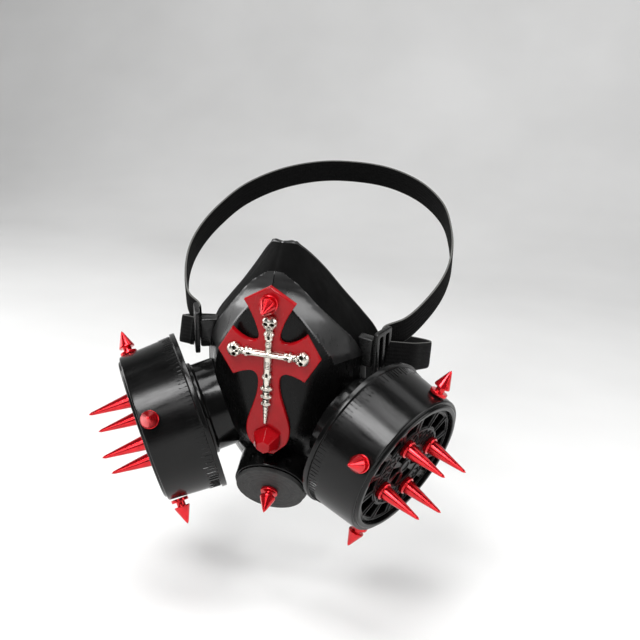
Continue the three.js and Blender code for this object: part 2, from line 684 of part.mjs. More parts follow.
// Skull with its crown towards +Y, looking out along +Z
function skull(centre) {
  const part = ({ across, up, forward, size, facets }, side) => ball(
    [size[0] * SKULL_RADIUS, size[1] * SKULL_LENGTH, size[2] * SKULL_DEPTH],
    [side * across * SKULL_RADIUS, centre + up * SKULL_LENGTH, SILVER_SINK + forward * SKULL_DEPTH],
    facets,
  );
  return part(SKULL_BALLS.crown, 1)
    .add(part(SKULL_BALLS.jaw, 1))
    .subtract(part(SKULL_BALLS.eye, -1))
    .subtract(part(SKULL_BALLS.eye, 1));
}

function boneArm(length) {
  return taper(BAR_RADIUS, BAR_RADIUS, 0, length)
    .add(knuckle(length - SKULL_LENGTH - KNUCKLE_DEPTH))
    .add(skull(length));
}

// Lower arm: bar, knuckle, flared vertebrae and a pointed tail
function spineArm() {
  const tailFrom = SILVER_BOTTOM * SPINE_TAIL_FROM;
  const arm = taper(BAR_RADIUS, BAR_RADIUS, 0, tailFrom + BAR_RADIUS)
    .add(knuckle(SILVER_BOTTOM * SPINE_KNUCKLE_AT))
    .add(taper(BAR_RADIUS, 0, tailFrom, SILVER_BOTTOM));
  const half = (SILVER_BOTTOM * SPINE_BONE_LENGTH) / 2;
  return VERTEBRAE.reduce((spine, { at, flare }) => {
    const middle = SILVER_BOTTOM * at;
    return spine.add(taper(flare * KNUCKLE_RADIUS, BAR_RADIUS, middle - half, middle + half));
  }, arm);
}

function skullCross() {
  const turned = (solid, angle) => solid.rotate([0, 0, angle / deg]);
  const cast = boneArm(SILVER_TOP)
    .add(turned(boneArm(SILVER_ARM), Math.PI / 2))
    .add(turned(boneArm(SILVER_ARM), -Math.PI / 2))
    .add(turned(spineArm(), Math.PI));
  const size = CROSS_TOP + CROSS_BOTTOM;
  const behind = solidOf(new THREE.BoxGeometry(size, size, size),
    new THREE.Matrix4().makeTranslation(0, 0, GAP - size / 2));
  return geometryOf(turned(cast.subtract(behind), SILVER_TURN));
}

function addCross() {
  const front = frameAt(new THREE.Vector3(0, 0, 0), new THREE.Vector3(1, 0, 0), new THREE.Vector3(0, -1, 0));
  const group = groupAt(front);
  addPiece(group, "cross_plate", crossPlate(), "redAcrylic");
  addPiece(group, "skull_cross", skullCross(), "silver");
  const top = addPiece(group, "cross_top_spike", treeSpike(TREE_SPIKE_LENGTH), "redMetal");
  top.position.set(0, TOP_SPIKE_RISE, GAP);
  const foot = addPiece(group, "cross_foot_stud", footStud(), "redMetal");
  foot.position.set(0, -FOOT_STUD_DROP, GAP);
}

// Strap fittings. The buckle's frame has X along the strap, Y up and Z away from the cheek.

function buckleFrame(side) {
  const centre = new THREE.Vector3(side * BUCKLE_OUT, BUCKLE_BACK, -BUCKLE_DROP);
  const outward = new THREE.Vector3(side * Math.sin(BUCKLE_TURN), -Math.cos(BUCKLE_TURN), 0);
  const backward = new THREE.Vector3(side * Math.cos(BUCKLE_TURN), Math.sin(BUCKLE_TURN), 0);
  return frameAt(centre, backward.multiplyScalar(side), outward);
}

function block(length, height, depth, centre) {
  const box = new THREE.BoxGeometry(length, height, depth);
  return solidOf(box, new THREE.Matrix4().makeTranslation(...centre));
}

function buckle() {
  const slotHeight = BUCKLE_HEIGHT - 2 * BUCKLE_BAR;
  const slotLength = (BUCKLE_LENGTH - 3 * BUCKLE_BAR) / 2;
  const slotMiddle = (slotLength + BUCKLE_BAR) / 2;
  const plate = block(BUCKLE_LENGTH, BUCKLE_HEIGHT, BUCKLE_THICK, [0, 0, 0]);
  const depth = BUCKLE_THICK * 2;
  const slots = [-slotMiddle, slotMiddle].map((x) => block(slotLength, slotHeight, depth, [x, 0, 0]));
  return geometryOf(slots.reduce((frame, slot) => frame.subtract(slot), plate));
}

function strapLug(side) {
  const top = -BUCKLE_THICK / 2 - GAP;
  const forward = side * (LUG_LENGTH - BUCKLE_LENGTH) / 2;
  const lug = block(LUG_LENGTH, LUG_HEIGHT, LUG_REACH, [forward, 0, top - LUG_REACH / 2]);
  return placed(lug, buckleFrame(side)).subtract(core);
}

function addFitting(side, label) {
  addPiece(groupAt(buckleFrame(side)), `strap_buckle_${label}`, buckle(), "plastic");
  addPiece(ownFrame, `strap_lug_${label}`, geometryOf(strapLug(side)), "plastic");
}

// Straps. Each is a flat band whose route lies in one sloping plane, from buckle to buckle round the head.

function strapStart(layer, rise) {
  const along = BUCKLE_LENGTH / 2 - STRAP_TUCK;
  return new THREE.Vector3(
    BUCKLE_OUT + along * Math.cos(BUCKLE_TURN) + layer * Math.sin(BUCKLE_TURN),
    BUCKLE_BACK + along * Math.sin(BUCKLE_TURN) - layer * Math.cos(BUCKLE_TURN),
    -BUCKLE_DROP + rise,
  );
}

function strap(start, route, halfWidth, reach) {
  const right = route.map(({ out, back }) => new THREE.Vector3(out * halfWidth, back * reach, 0));
  const half = [new THREE.Vector3(start.x, 0, 0), ...right];
  const left = half.slice(0, -1).reverse().map((point) => point.clone().setX(-point.x));
  const path = new THREE.CatmullRomCurve3([...half, ...left], false, "centripetal");
  const section = new THREE.Shape();
  section.moveTo(-STRAP_WIDTH / 2, -STRAP_THICK / 2);
  section.lineTo(STRAP_WIDTH / 2, -STRAP_THICK / 2);
  section.lineTo(STRAP_WIDTH / 2, STRAP_THICK / 2);
  section.lineTo(-STRAP_WIDTH / 2, STRAP_THICK / 2);
  return new THREE.ExtrudeGeometry(section, { extrudePath: path, steps: STRAP_STEPS, bevelEnabled: false });
}

function addStrap(name, start, rise, route, halfWidth, reach) {
  const plane = new THREE.Matrix4().makeRotationX(rise).setPosition(0, start.y, start.z);
  const buckleRoom = block(BUCKLE_LENGTH + 2 * GAP, BUCKLE_HEIGHT * 3, BUCKLE_HEIGHT, [0, 0, 0]);
  const band = [1, -1].reduce(
    (solid, side) => solid.subtract(placed(buckleRoom, buckleFrame(side))),
    solidOf(strap(start, route, halfWidth, reach), plane),
  );
  addPiece(ownFrame, name, geometryOf(band), "webbing");
}

// The whole mask

addPiece(ownFrame, "facepiece", geometryOf(facepiece()), "rubber");
addCanister(1, "right", LONG_SPIKE_TURN_RIGHT, SIDE_SPIKES_RIGHT);
addCanister(-1, "left", LONG_SPIKE_TURN_LEFT, SIDE_SPIKES_LEFT);
addValve();
addCross();
addFitting(1, "right");
addFitting(-1, "left");
const upperStart = strapStart(-STRAP_LAYER, UPPER_STRAP_LIFT);
const lowerStart = strapStart(STRAP_LAYER, -LOWER_STRAP_SINK);
addStrap("strap_upper", upperStart, UPPER_STRAP_RISE, UPPER_ROUTE, HEAD_HALF_WIDTH, UPPER_STRAP_REACH);
addStrap("strap_lower", lowerStart, LOWER_STRAP_RISE, LOWER_ROUTE, NECK_HALF_WIDTH, LOWER_STRAP_REACH);

export default mask;
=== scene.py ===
"""Looks of the costume mask: finished pieces, materials, floor, lights and camera.

Lengths are in millimetres in the mask's own frame, as in the solid model, and become metres when a piece
is placed. In that frame x is to the right seen from the front, y runs back from the front face of the
cross plate, and z is up from the crossing of the cross plate.
"""

import math
import random

import bmesh
import bpy
import numpy as np
from mathutils import Matrix, Vector


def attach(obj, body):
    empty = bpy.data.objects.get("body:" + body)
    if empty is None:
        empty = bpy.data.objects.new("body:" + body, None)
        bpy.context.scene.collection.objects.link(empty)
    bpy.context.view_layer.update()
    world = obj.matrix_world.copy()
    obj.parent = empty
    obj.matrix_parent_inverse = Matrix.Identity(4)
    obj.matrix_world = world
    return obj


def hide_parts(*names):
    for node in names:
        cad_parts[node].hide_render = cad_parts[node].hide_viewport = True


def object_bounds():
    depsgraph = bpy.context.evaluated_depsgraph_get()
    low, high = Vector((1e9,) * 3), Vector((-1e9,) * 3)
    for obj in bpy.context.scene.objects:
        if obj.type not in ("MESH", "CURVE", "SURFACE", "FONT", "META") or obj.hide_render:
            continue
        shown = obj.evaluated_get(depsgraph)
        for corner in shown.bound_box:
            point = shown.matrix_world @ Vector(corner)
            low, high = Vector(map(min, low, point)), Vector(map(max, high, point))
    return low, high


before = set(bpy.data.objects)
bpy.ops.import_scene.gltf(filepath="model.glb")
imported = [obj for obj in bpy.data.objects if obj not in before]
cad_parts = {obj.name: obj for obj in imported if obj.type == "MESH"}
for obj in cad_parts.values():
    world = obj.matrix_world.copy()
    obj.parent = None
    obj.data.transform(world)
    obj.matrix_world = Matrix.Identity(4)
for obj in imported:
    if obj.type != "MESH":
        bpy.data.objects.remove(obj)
cad_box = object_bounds()

MM = 0.001
OWN_PLACE = "own_place"  # layer of a mesh that keeps each point's place in the piece's own frame
WEAVE = "weave"  # layer of a strap with the run along it and across it

# Pose of the mask on an upright head
FRONT_TILT = math.radians(10)
SEAT_BACK = 52
SEAT_DROP = 22

GAP = 0.3

# Facepiece
FACE_HEIGHT = 148
FACE_HALF_WIDTH = 50
FACE_DEPTH = 57.5
NOSE_TOP = 49.3
FACE_WALL = 2.2
FACE_STEPS_ALONG = 150
FACE_STEPS_ACROSS = 220
CORE_SIZE = 10
FLANGE_STEP = 0.9  # the body stands this far proud of the flange
FLANGE_STEP_WIDTH = 0.018  # share of the half section that the step takes
CREASE_RISE = 1.3  # the shoulder crease stands this far proud
CREASE_WIDTH = 0.15  # share of the half section on each side of it
FACET_END = 0.47  # share of the way from nose to chin where the polished facet ends
FACET_FADE = 0.1  # and over which it runs out
RIM_BEAD = 1.25  # radius of the bead round the rim

# Canisters
CAN_FRONT_SPREAD = 71.4
CAN_FRONT_BACK = 9.2
CAN_DROP = 60
CAN_OUTWARD = math.radians(60.8)
CAN_DOWNWARD = math.radians(15.2)
CAN_DEPTH = 32.7
CAN_LIP_RADIUS = 37.2
CAN_FRONT_RADIUS = 40
CAN_BACK_RADIUS = 41.9
CAN_RIM_RADIUS = 43.1
CAN_RIM_DEPTH = 2.6
CAN_LIP_HEIGHT = 1.3
CAN_WALL = 2
CAN_SIDES = 160
CAN_RIBS = 110  # fine ribs round the back of the wall
CAN_RIB_HEIGHT = 0.28
CAN_RIB_WIDTH = 0.55
PORT_RADIUS = 15
COLLAR_RADIUS = 24
COLLAR_REACH = 21

# Grilles
GRILLE_RECESS = 2.4
GRILLE_THICK = 1.8
GRILLE_RELIEF = 0.55
GRILLE_SLOTS = [
    # ring of slots: number, inner and outer radius as shares of the grille's radius, share of pitch cut away
    {"count": 6, "inner": 0.13, "outer": 0.34, "open": 0.62},
    {"count": 14, "inner": 0.7, "outer": 0.92, "open": 0.66},
]
GRILLE_RINGS = [0.1, 0.38, 0.66, 0.96]  # raised rings, shares of the grille's radius
GRILLE_VANES = 28  # raised curved vanes between the two middle rings
GRILLE_VANE_SWEEP = math.radians(16)

# Spikes and studs
LONG_SPIKE_LENGTH = 25
LONG_SPIKE_RADIUS = 3.9
LONG_SPIKE_FOOT_RADIUS = 4.8
LONG_SPIKE_FOOT_THICK = 2.4
LONG_SPIKE_CIRCLE = 17.9
TREE_SPIKE_LENGTH = 14
TREE_SPIKE_RADIUS = 4.2
TREE_SPIKE_FOOT_RADIUS = 4.6
TREE_SPIKE_FOOT_THICK = 1.8
TREE_SPIKE_WAIST_RADIUS = 2.3
TREE_SPIKE_WAIST_LENGTH = 2.4
TREE_SPIKE_BACKSET = 6.8
SPIKE_BEVEL = 0.6
SPIKE_POINT = 0.8
SPIKE_SIDES = 48
LONG_SPIKES_PER_CAN = 4
LONG_SPIKE_TURN_RIGHT = math.radians(22.5)
LONG_SPIKE_TURN_LEFT = math.radians(-9)
SIDE_SPIKES_RIGHT = [67.5, 154, 248, 337.5]  # degrees round the can
SIDE_SPIKES_LEFT = [49, 144, 233, 319]
SIDE_SPIKE_STAND = 40.93  # feet from the can's axis
FOOT_STUD_RADIUS = 7.6
FOOT_STUD_TIP_RADIUS = 3.6
FOOT_STUD_LENGTH = 9
FOOT_STUD_BAND = 2
FOOT_STUD_SIDES = 6

# Exhalation valve
VALVE_BACK = 6.6
VALVE_DROP = 83.8
VALVE_TILT = math.radians(25.2)
VALVE_DISC_RADIUS = 18.2
VALVE_DISC_THICK = 2.4
VALVE_DISC_RINGS = 5
VALVE_DISC_GROOVE = 0.12
VALVE_DISC_GROOVE_HALF = 0.3  # half the width of a groove
HOUSING_RADIUS = 19.6
HOUSING_WALL = 6
HOUSING_REACH = 22
HOUSING_NOTCHES = 12
HOUSING_NOTCH_DEPTH = 1.6
HOUSING_NOTCH_WIDTH = 3
HOUSING_NOTCH_LENGTH = 5
VALVE_PORT_RADIUS = 12
VALVE_SPIKE_LENGTH = 13.5

# Cross plate
CROSS_THICK = 3
CROSS_BEVEL = 0.7
CROSS_HALF_WIDTH = 25.8
CROSS_TOP = 35
CROSS_BOTTOM = 57.2
TOP_SPIKE_RISE = 26.7
FOOT_STUD_DROP = 48.3

# Cast skull cross
SILVER_TURN = math.radians(-1.7)
SILVER_ARM = 16.4
SILVER_TOP = 16.2
SILVER_BOTTOM = 39
SILVER_SINK = 1.1
BAR_RADIUS = 1.6
SKULL_RADIUS = 3.4
SKULL_LENGTH = 4.1
SKULL_DEPTH = 2.7
KNUCKLE_RADIUS = 2.6
SILVER_VOXEL = 0.17

# Straps and their fittings
STRAP_WIDTH = 15
STRAP_THICK = 1.5
STRAP_STEPS = 260
EDGE_HIGHLIGHT_FROM = 0.93  # share of the strap's half width where its pale edge, a painted highlight, starts
EDGE_HIGHLIGHT_FULL = 0.99
HEAD_HALF_WIDTH = 76
NECK_HALF_WIDTH = 70
UPPER_STRAP_REACH = 191
LOWER_STRAP_REACH = 145
UPPER_STRAP_RISE = math.radians(10)
LOWER_STRAP_RISE = math.radians(-23.6)
BUCKLE_OUT = 50
BUCKLE_BACK = 40
BUCKLE_DROP = 11
BUCKLE_TURN = math.radians(68)
BUCKLE_LENGTH = 15
BUCKLE_HEIGHT = 24
BUCKLE_THICK = 2.6
BUCKLE_BAR = 3
BUCKLE_CORNER = 1.6
LUG_HEIGHT = 16
LUG_LENGTH = 6
LUG_REACH = 22
STRAP_LAYER = 1.6
STRAP_TUCK = 4
UPPER_STRAP_LIFT = 4
LOWER_STRAP_SINK = 3.5

# Camera, fitted to the photograph in the mask's own frame
CAMERA_AZIMUTH = 0.194
CAMERA_ELEVATION = 0.432
CAMERA_ROLL = 0.039
CAMERA_DISTANCE = 485.5
CAMERA_ASIDE = -24.9
CAMERA_ALOFT = -16.1
CAMERA_LENS = 56.18
SENSOR_WIDTH = 36

FLOOR_CLEARANCE = 45  # floor below the lowest point of the mask

MASK_MIDDLE = (0, -0.03, -0.02)
LIGHTS = [
    # softboxes in metres and watts: name, place, what it looks at, size, power
    ("top_box", (-0.1, -0.2, 1.0), MASK_MIDDLE, (0.5, 0.4), 6),
    ("key_box", (-0.16, -0.68, 0.76), MASK_MIDDLE, (0.45, 0.35), 9),
    ("left_box", (-0.95, 0.15, 0.22), MASK_MIDDLE, (0.6, 0.6), 5),
    ("right_box", (0.95, -0.15, 0.36), MASK_MIDDLE, (0.7, 0.6), 6),
    ("front_fill", (-0.25, -1.2, 0.5), MASK_MIDDLE, (0.4, 0.4), 2),
    ("backdrop_light", (0, 0.7, 1.7), (0, 1.5, 0.2), (2.4, 0.8), 12),
]

# Sections of the facepiece from nose to chin, as shares of its half width, depth and height
FACE_ROWS = [
    # front: (back, down); shoulder, cheek and rim: (out, back, down)
    {"front": (0.35, 0), "shoulder": (0.05, 0.37, 0.002), "cheek": (0.1, 0.4, 0.006), "rim": (0.13, 0.44,
                                                                                              0.014)},
    {"front": (0.23, 0.03), "shoulder": (0.1, 0.29, 0.037), "cheek": (0.17, 0.41, 0.046), "rim": (0.22, 0.55,
                                                                                                  0.056)},
    {"front": (0.1, 0.073), "shoulder": (0.18, 0.18, 0.09), "cheek": (0.29, 0.43, 0.11), "rim": (0.36, 0.7,
                                                                                                 0.13)},
    {"front": (0.015, 0.124), "shoulder": (0.25, 0.1, 0.14), "cheek": (0.43, 0.45, 0.174), "rim": (0.54, 0.81,
                                                                                                   0.222)},
    {"front": (0, 0.198), "shoulder": (0.33, 0.073, 0.215), "cheek": (0.57, 0.43, 0.252), "rim": (0.72, 0.9,
                                                                                                  0.306)},
    {"front": (0, 0.3), "shoulder": (0.38, 0.064, 0.31), "cheek": (0.68, 0.43, 0.34), "rim": (0.88, 0.965,
                                                                                              0.387)},
    {"front": (0, 0.414), "shoulder": (0.4, 0.056, 0.42), "cheek": (0.74, 0.45, 0.448), "rim": (0.98, 0.995,
                                                                                                0.482)},
    {"front": (0, 0.536), "shoulder": (0.39, 0.056, 0.543), "cheek": (0.73, 0.48, 0.563), "rim": (1, 1,
                                                                                                  0.59)},
    {"front": (0.016, 0.644), "shoulder": (0.36, 0.09, 0.65), "cheek": (0.7, 0.5, 0.67), "rim": (0.96, 0.97,
                                                                                                 0.7)},
    {"front": (0.16, 0.74), "shoulder": (0.32, 0.22, 0.745), "cheek": (0.63, 0.55, 0.77), "rim": (0.84, 0.92,
                                                                                                  0.806)},
    {"front": (0.31, 0.853), "shoulder": (0.28, 0.35, 0.86), "cheek": (0.49, 0.585, 0.88), "rim": (0.62, 0.83,
                                                                                                   0.907)},
    {"front": (0.456, 0.955), "shoulder": (0.16, 0.48, 0.957), "cheek": (0.29, 0.6, 0.96), "rim": (0.38, 0.77,
                                                                                                   0.962)},
    {"front": (0.71, 1), "shoulder": (0.1, 0.715, 0.998), "cheek": (0.19, 0.73, 0.993), "rim": (0.26, 0.76,
                                                                                                0.984)},
]

# Lines drawn on the facepiece, as shares: along from nose to chin, and across from the middle to the rim
FLANGE_LINE = [(0.13, 0.0), (0.15, 0.08), (0.2, 0.24), (0.29, 0.38), (0.36, 0.52), (0.42, 0.64), (0.48, 0.72),
               (0.6, 0.75), (0.75, 0.74), (0.88, 0.68), (0.95, 0.45), (1.0, 0.0)]
CREASE_LINE = [(0.24, 0.0), (0.3, 0.14), (0.35, 0.22), (0.4, 0.29), (0.45, 0.37), (0.52, 0.44), (0.65, 0.42),
               (0.75, 0.33), (0.82, 0.15), (0.86, 0.0)]

CROSS_OUTLINE = [
    # half outline: (out, up) as shares, with the control points of a curve in bend
    {"to": (0.5, 0.77)},
    {"bend": [(0.295, 0.53)], "to": (0.217, 0.31)},
    {"bend": [(0.17, 0.17)], "to": (0.333, 0.163)},
    {"bend": [(0.51, 0.17)], "to": (0.725, 0.33)},
    {"to": (1, -0.015)},
    {"to": (0.707, -0.245)},
    {"bend": [(0.5, -0.192)], "to": (0.345, -0.19)},
    {"bend": [(0.2, -0.2)], "to": (0.21, -0.306)},
    {"bend": [(0.217, -0.47), (0.438, -0.63)], "to": (0.438, -0.76)},
    {"bend": [(0.438, -0.874)], "to": (0.29, -0.927)},
    {"to": (0.124, -1)},
]

# Routes of the straps from the right buckle to the middle of the back: (share of half width, share of reach)
UPPER_ROUTE = [(0.782, 0.065), (0.91, 0.19), (0.985, 0.32), (1, 0.45), (0.955, 0.6), (0.84, 0.76), (0.6, 0.9),
               (0.3, 0.98), (0, 1)]
LOWER_ROUTE = [(0.912, 0.095), (0.965, 0.24), (1, 0.39), (0.98, 0.56), (0.88, 0.73), (0.68, 0.88), (0.37,
                                                                                                    0.975),
               (0, 1)]


# Frames. Each is a matrix in millimetres whose Z is the piece's axis.

own_frame = Matrix.Rotation(FRONT_TILT, 4, "X") @ Matrix.Translation((0, -SEAT_BACK, SEAT_DROP))


def frame_at(origin, x_axis, z_axis):
    z = Vector(z_axis).normalized()
    x = Vector(x_axis)
    x = (x - z * x.dot(z)).normalized()
    y = z.cross(x)
    matrix = Matrix((x, y, z)).transposed().to_4x4()
    matrix.translation = Vector(origin)
    return matrix


def canister_frame(side):
    level = math.cos(CAN_DOWNWARD)
    axis = (side * math.sin(CAN_OUTWARD) * level, -math.cos(CAN_OUTWARD) * level, -math.sin(CAN_DOWNWARD))
    backward = (math.cos(CAN_OUTWARD), side * math.sin(CAN_OUTWARD), 0)
    return frame_at((side * CAN_FRONT_SPREAD, CAN_FRONT_BACK, -CAN_DROP), backward, axis)


def valve_frame():
    return frame_at((0, VALVE_BACK, -VALVE_DROP), (1, 0, 0), (0, -math.cos(VALVE_TILT),
                                                              -math.sin(VALVE_TILT)))


def cross_frame():
    return frame_at((0, 0, 0), (1, 0, 0), (0, -1, 0))


def buckle_frame(side):
    outward = (side * math.sin(BUCKLE_TURN), -math.cos(BUCKLE_TURN), 0)
    backward = Vector((side * math.cos(BUCKLE_TURN), math.sin(BUCKLE_TURN), 0)) * side
    return frame_at((side * BUCKLE_OUT, BUCKLE_BACK, -BUCKLE_DROP), backward, outward)


def metres(matrix):
    """The same placing, for a mesh that is already in metres."""
    placed = own_frame @ matrix
    placed.translation = placed.translation * MM
    return placed


# Meshes

def piece(name, vertices, faces, matrix, smooth=True):
    """An object from vertices in millimetres, placed by a frame of the mask."""
    mesh = bpy.data.meshes.new(name)
    mesh.from_pydata([tuple(np.asarray(v, float) * MM) for v in vertices], [], faces)
    mesh.validate()
    mesh.update()
    made = bpy.data.objects.new(name, mesh)
    bpy.context.scene.collection.objects.link(made)
    made.matrix_world = metres(matrix)
    if smooth:
        shade_smooth(made)
    return made


def shade_smooth(target, angle=35):
    target.data.shade_smooth()
    bpy.context.view_layer.objects.active = target
    target.select_set(True)
    bpy.ops.object.shade_smooth_by_angle(angle=math.radians(angle), keep_sharp_edges=False)
    target.select_set(False)


def apply_modifiers(target):
    bpy.context.view_layer.update()
    graph = bpy.context.evaluated_depsgraph_get()
    mesh = bpy.data.meshes.new_from_object(target.evaluated_get(graph))
    old = target.data
    target.modifiers.clear()
    target.data = mesh
    bpy.data.meshes.remove(old)
    return target


def cut(target, cutter, keep_cutter=False):
    """Takes the cutter's volume out of the target."""
    modifier = target.modifiers.new("cut", "BOOLEAN")
    modifier.operation = "DIFFERENCE"
    modifier.solver = "EXACT"
    modifier.object = cutter
    apply_modifiers(target)
    if not keep_cutter:
        bpy.data.objects.remove(cutter)
    return target


def bevel(target, width, segments=3, angle=30):
    modifier = target.modifiers.new("bevel", "BEVEL")
    modifier.width = width * MM
    modifier.segments = segments
    modifier.limit_method = "ANGLE"
    modifier.angle_limit = math.radians(angle)
    modifier.harden_normals = False
    return apply_modifiers(target)


def joined(name, parts):
    """Joins objects into one and gives it the first one's place."""
    bpy.ops.object.select_all(action="DESELECT")
    for part in parts:
        part.select_set(True)
    bpy.context.view_layer.objects.active = parts[0]
    bpy.ops.object.join()
    made = bpy.context.view_layer.objects.active
    made.name = name
    made.select_set(False)
    return made


def lathe(name, profile, sides, matrix, closed=False):
    """Turns (radius, height) pairs round Z. An open profile starts and ends on the axis."""
    vertices = []
    rings = []
    for radius, height in profile:
        if radius < 1e-6:
            rings.append([len(vertices)])
            vertices.append((0, 0, height))
            continue
        rings.append(list(range(len(vertices), len(vertices) + sides)))
        for k in range(sides):
            turn = 2 * math.pi * k / sides
            vertices.append((radius * math.cos(turn), radius * math.sin(turn), height))
    pairs = list(zip(rings, rings[1:]))
    if closed:
        pairs.append((rings[-1], rings[0]))
    faces = []
    for low, high in pairs:
        for k in range(sides):
            after = (k + 1) % sides
            if len(low) == 1 and len(high) > 1:
                faces.append((low[0], high[after], high[k]))
            elif len(high) == 1 and len(low) > 1:
                faces.append((low[k], low[after], high[0]))
            elif len(low) > 1:
                faces.append((low[k], low[after], high[after], high[k]))
    return piece(name, vertices, faces, matrix)


def rounded(profile, radius, steps=4, closed=False):
    """Rounds the corners of a profile off, by up to half of the shorter leg."""
    points = [np.array(p, float) for p in profile]
    count = len(points)
    out = []
    for k, point in enumerate(points):
        if not closed and k in (0, count - 1):
            out.append(tuple(point))
            continue
        before = points[k - 1] - point
        after = points[(k + 1) % count] - point
        reach = min(radius, np.linalg.norm(before) * 0.48, np.linalg.norm(after) * 0.48)
        start = point + before / np.linalg.norm(before) * reach
        end = point + after / np.linalg.norm(after) * reach
        for step in range(steps + 1):
            t = step / steps
            out.append(tuple((1 - t) ** 2 * start + 2 * t * (1 - t) * point + t * t * end))
    return out


def outlined(name, outlines, half_thick, edge, matrix, lift=0):
    """A plate from closed outlines, in which one inside another is a hole, with rounded edges."""
    curve = bpy.data.curves.new(name, "CURVE")
    curve.dimensions = "2D"
    curve.fill_mode = "BOTH"
    curve.extrude = (half_thick - edge) * MM
    curve.bevel_depth = edge * MM
    curve.bevel_resolution = 3
    curve.offset = -edge * MM
    for outline in outlines:
        spline = curve.splines.new("POLY")
        spline.points.add(len(outline) - 1)
        for point, (x, y) in zip(spline.points, outline):
            point.co = (x * MM, y * MM, 0, 1)
        spline.use_cyclic_u = True
    shape = bpy.data.objects.new(name + "_outline", curve)
    bpy.context.scene.collection.objects.link(shape)
    bpy.context.view_layer.update()
    graph = bpy.context.evaluated_depsgraph_get()
    mesh = bpy.data.meshes.new_from_object(shape.evaluated_get(graph))
    bpy.data.objects.remove(shape)
    mesh.name = name
    made = bpy.data.objects.new(name, mesh)
    bpy.context.scene.collection.objects.link(made)
    mesh.transform(Matrix.Translation((0, 0, lift * MM)))
    clean = bmesh.new()
    clean.from_mesh(mesh)
    bmesh.ops.remove_doubles(clean, verts=clean.verts, dist=1e-6)
    bmesh.ops.recalc_face_normals(clean, faces=clean.faces)
    clean.to_mesh(mesh)
    clean.free()
    made.matrix_world = metres(matrix)
    shade_smooth(made)
    return made


def arc(radius, start, end, steps):
    angles = np.linspace(start, end, steps + 1)
    return [(radius * math.cos(a), radius * math.sin(a)) for a in angles]


def rounded_box(name, size, centre, edge, matrix):
    vertices = [(x * size[0] / 2 + centre[0], y * size[1] / 2 + centre[1], z * size[2] / 2 + centre[2])
                for x in (-1, 1) for y in (-1, 1) for z in (-1, 1)]
    faces = [(0, 1, 3, 2), (4, 6, 7, 5), (0, 4, 5, 1), (2, 3, 7, 6), (0, 2, 6, 4), (1, 5, 7, 3)]
    made = piece(name, vertices, faces, matrix, smooth=False)
    if edge:
        bevel(made, edge)
    shade_smooth(made)
    return made


def spline_points(points, steps):
    """Even parameter steps along a centripetal Catmull-Rom curve."""
    points = np.array(points, float)
    last = len(points) - 1
    out = []
    for k in range(steps + 1):
        place = last * k / steps
        i = min(int(place), last - 1)
        t = place - i
        p1, p2 = points[i], points[i + 1]
        p0 = points[i - 1] if i > 0 else 2 * points[0] - points[1]
        p3 = points[i + 2] if i + 2 <= last else 2 * points[-1] - points[-2]
        d0, d1, d2 = (max(np.linalg.norm(b - a) ** 0.5, 1e-6) for a, b in ((p0, p1), (p1, p2), (p2, p3)))
        m1 = ((p1 - p0) / d0 - (p2 - p0) / (d0 + d1) + (p2 - p1) / d1) * d1
        m2 = ((p2 - p1) / d1 - (p3 - p1) / (d1 + d2) + (p3 - p2) / d2) * d1
        out.append(p1 + m1 * t + (-3 * p1 + 3 * p2 - 2 * m1 - m2) * t ** 2 + (2 * p1 - 2 * p2 + m1 + m2) * t ** 3)
    return np.array(out)


def even_points(points, steps):
    """Points at even distances along the same curve."""
    dense = spline_points(points, 400)
    run = np.concatenate([[0], np.cumsum(np.linalg.norm(np.diff(dense, axis=0), axis=1))])
    at = np.linspace(0, run[-1], steps + 1)
    return np.stack([np.interp(at, run, dense[:, k]) for k in range(3)], 1)


# Materials

def grey(level):
    return (level, level, level)


def shader(name, colour, roughness, metallic=0.0, coat=0.0, coat_roughness=0.05, specular=0.5):
    material = bpy.data.materials.new(name)
    material.use_nodes = True
    bsdf = material.node_tree.nodes["Principled BSDF"]
    bsdf.inputs["Base Color"].default_value = (*colour, 1)
    bsdf.inputs["Roughness"].default_value = roughness
    bsdf.inputs["Metallic"].default_value = metallic
    bsdf.inputs["Specular IOR Level"].default_value = specular
    bsdf.inputs["Coat Weight"].default_value = coat
    bsdf.inputs["Coat Roughness"].default_value = coat_roughness
    return material


def node(material, kind, inputs=None, **settings):
    made = material.node_tree.nodes.new(kind)
    for key, value in settings.items():
        setattr(made, key, value)
    for key, value in (inputs or {}).items():
        made.inputs[key].default_value = value
    return made


def link(material, source, target):
    material.node_tree.links.new(source, target)


def coordinates(material, stretch=(1, 1, 1), layer=OWN_PLACE):
    """Places in a piece's own frame, or another vector layer of its mesh."""
    place = node(material, "ShaderNodeAttribute", attribute_name=layer)
    mapping = node(material, "ShaderNodeMapping", {"Scale": stretch})
    link(material, place.outputs["Vector"], mapping.inputs["Vector"])
    return mapping.outputs["Vector"]


def noise(material, place, size, detail=4, rough=0.55):
    """Noise whose lumps are about size millimetres."""
    made = node(material, "ShaderNodeTexNoise", {"Scale": 1 / (size * MM), "Detail": detail,
                                                 "Roughness": rough})
    link(material, place, made.inputs["Vector"])
    return made.outputs["Fac"]


def between(material, factor, low, high, start=0.3, end=0.7):
    """Maps a factor onto a range of numbers."""
    made = node(material, "ShaderNodeMapRange",
                {"From Min": start, "From Max": end, "To Min": low, "To Max": high})
    link(material, factor, made.inputs["Value"])
    return made.outputs["Result"]


def ramp(material, factor, stops):
    made = node(material, "ShaderNodeValToRGB")
    elements = made.color_ramp.elements
    while len(elements) < len(stops):
        elements.new(0.5)
    for element, (at, colour) in zip(elements, stops):
        element.position = at
        element.color = (*colour, 1)
    link(material, factor, made.inputs["Fac"])
    return made.outputs["Color"]


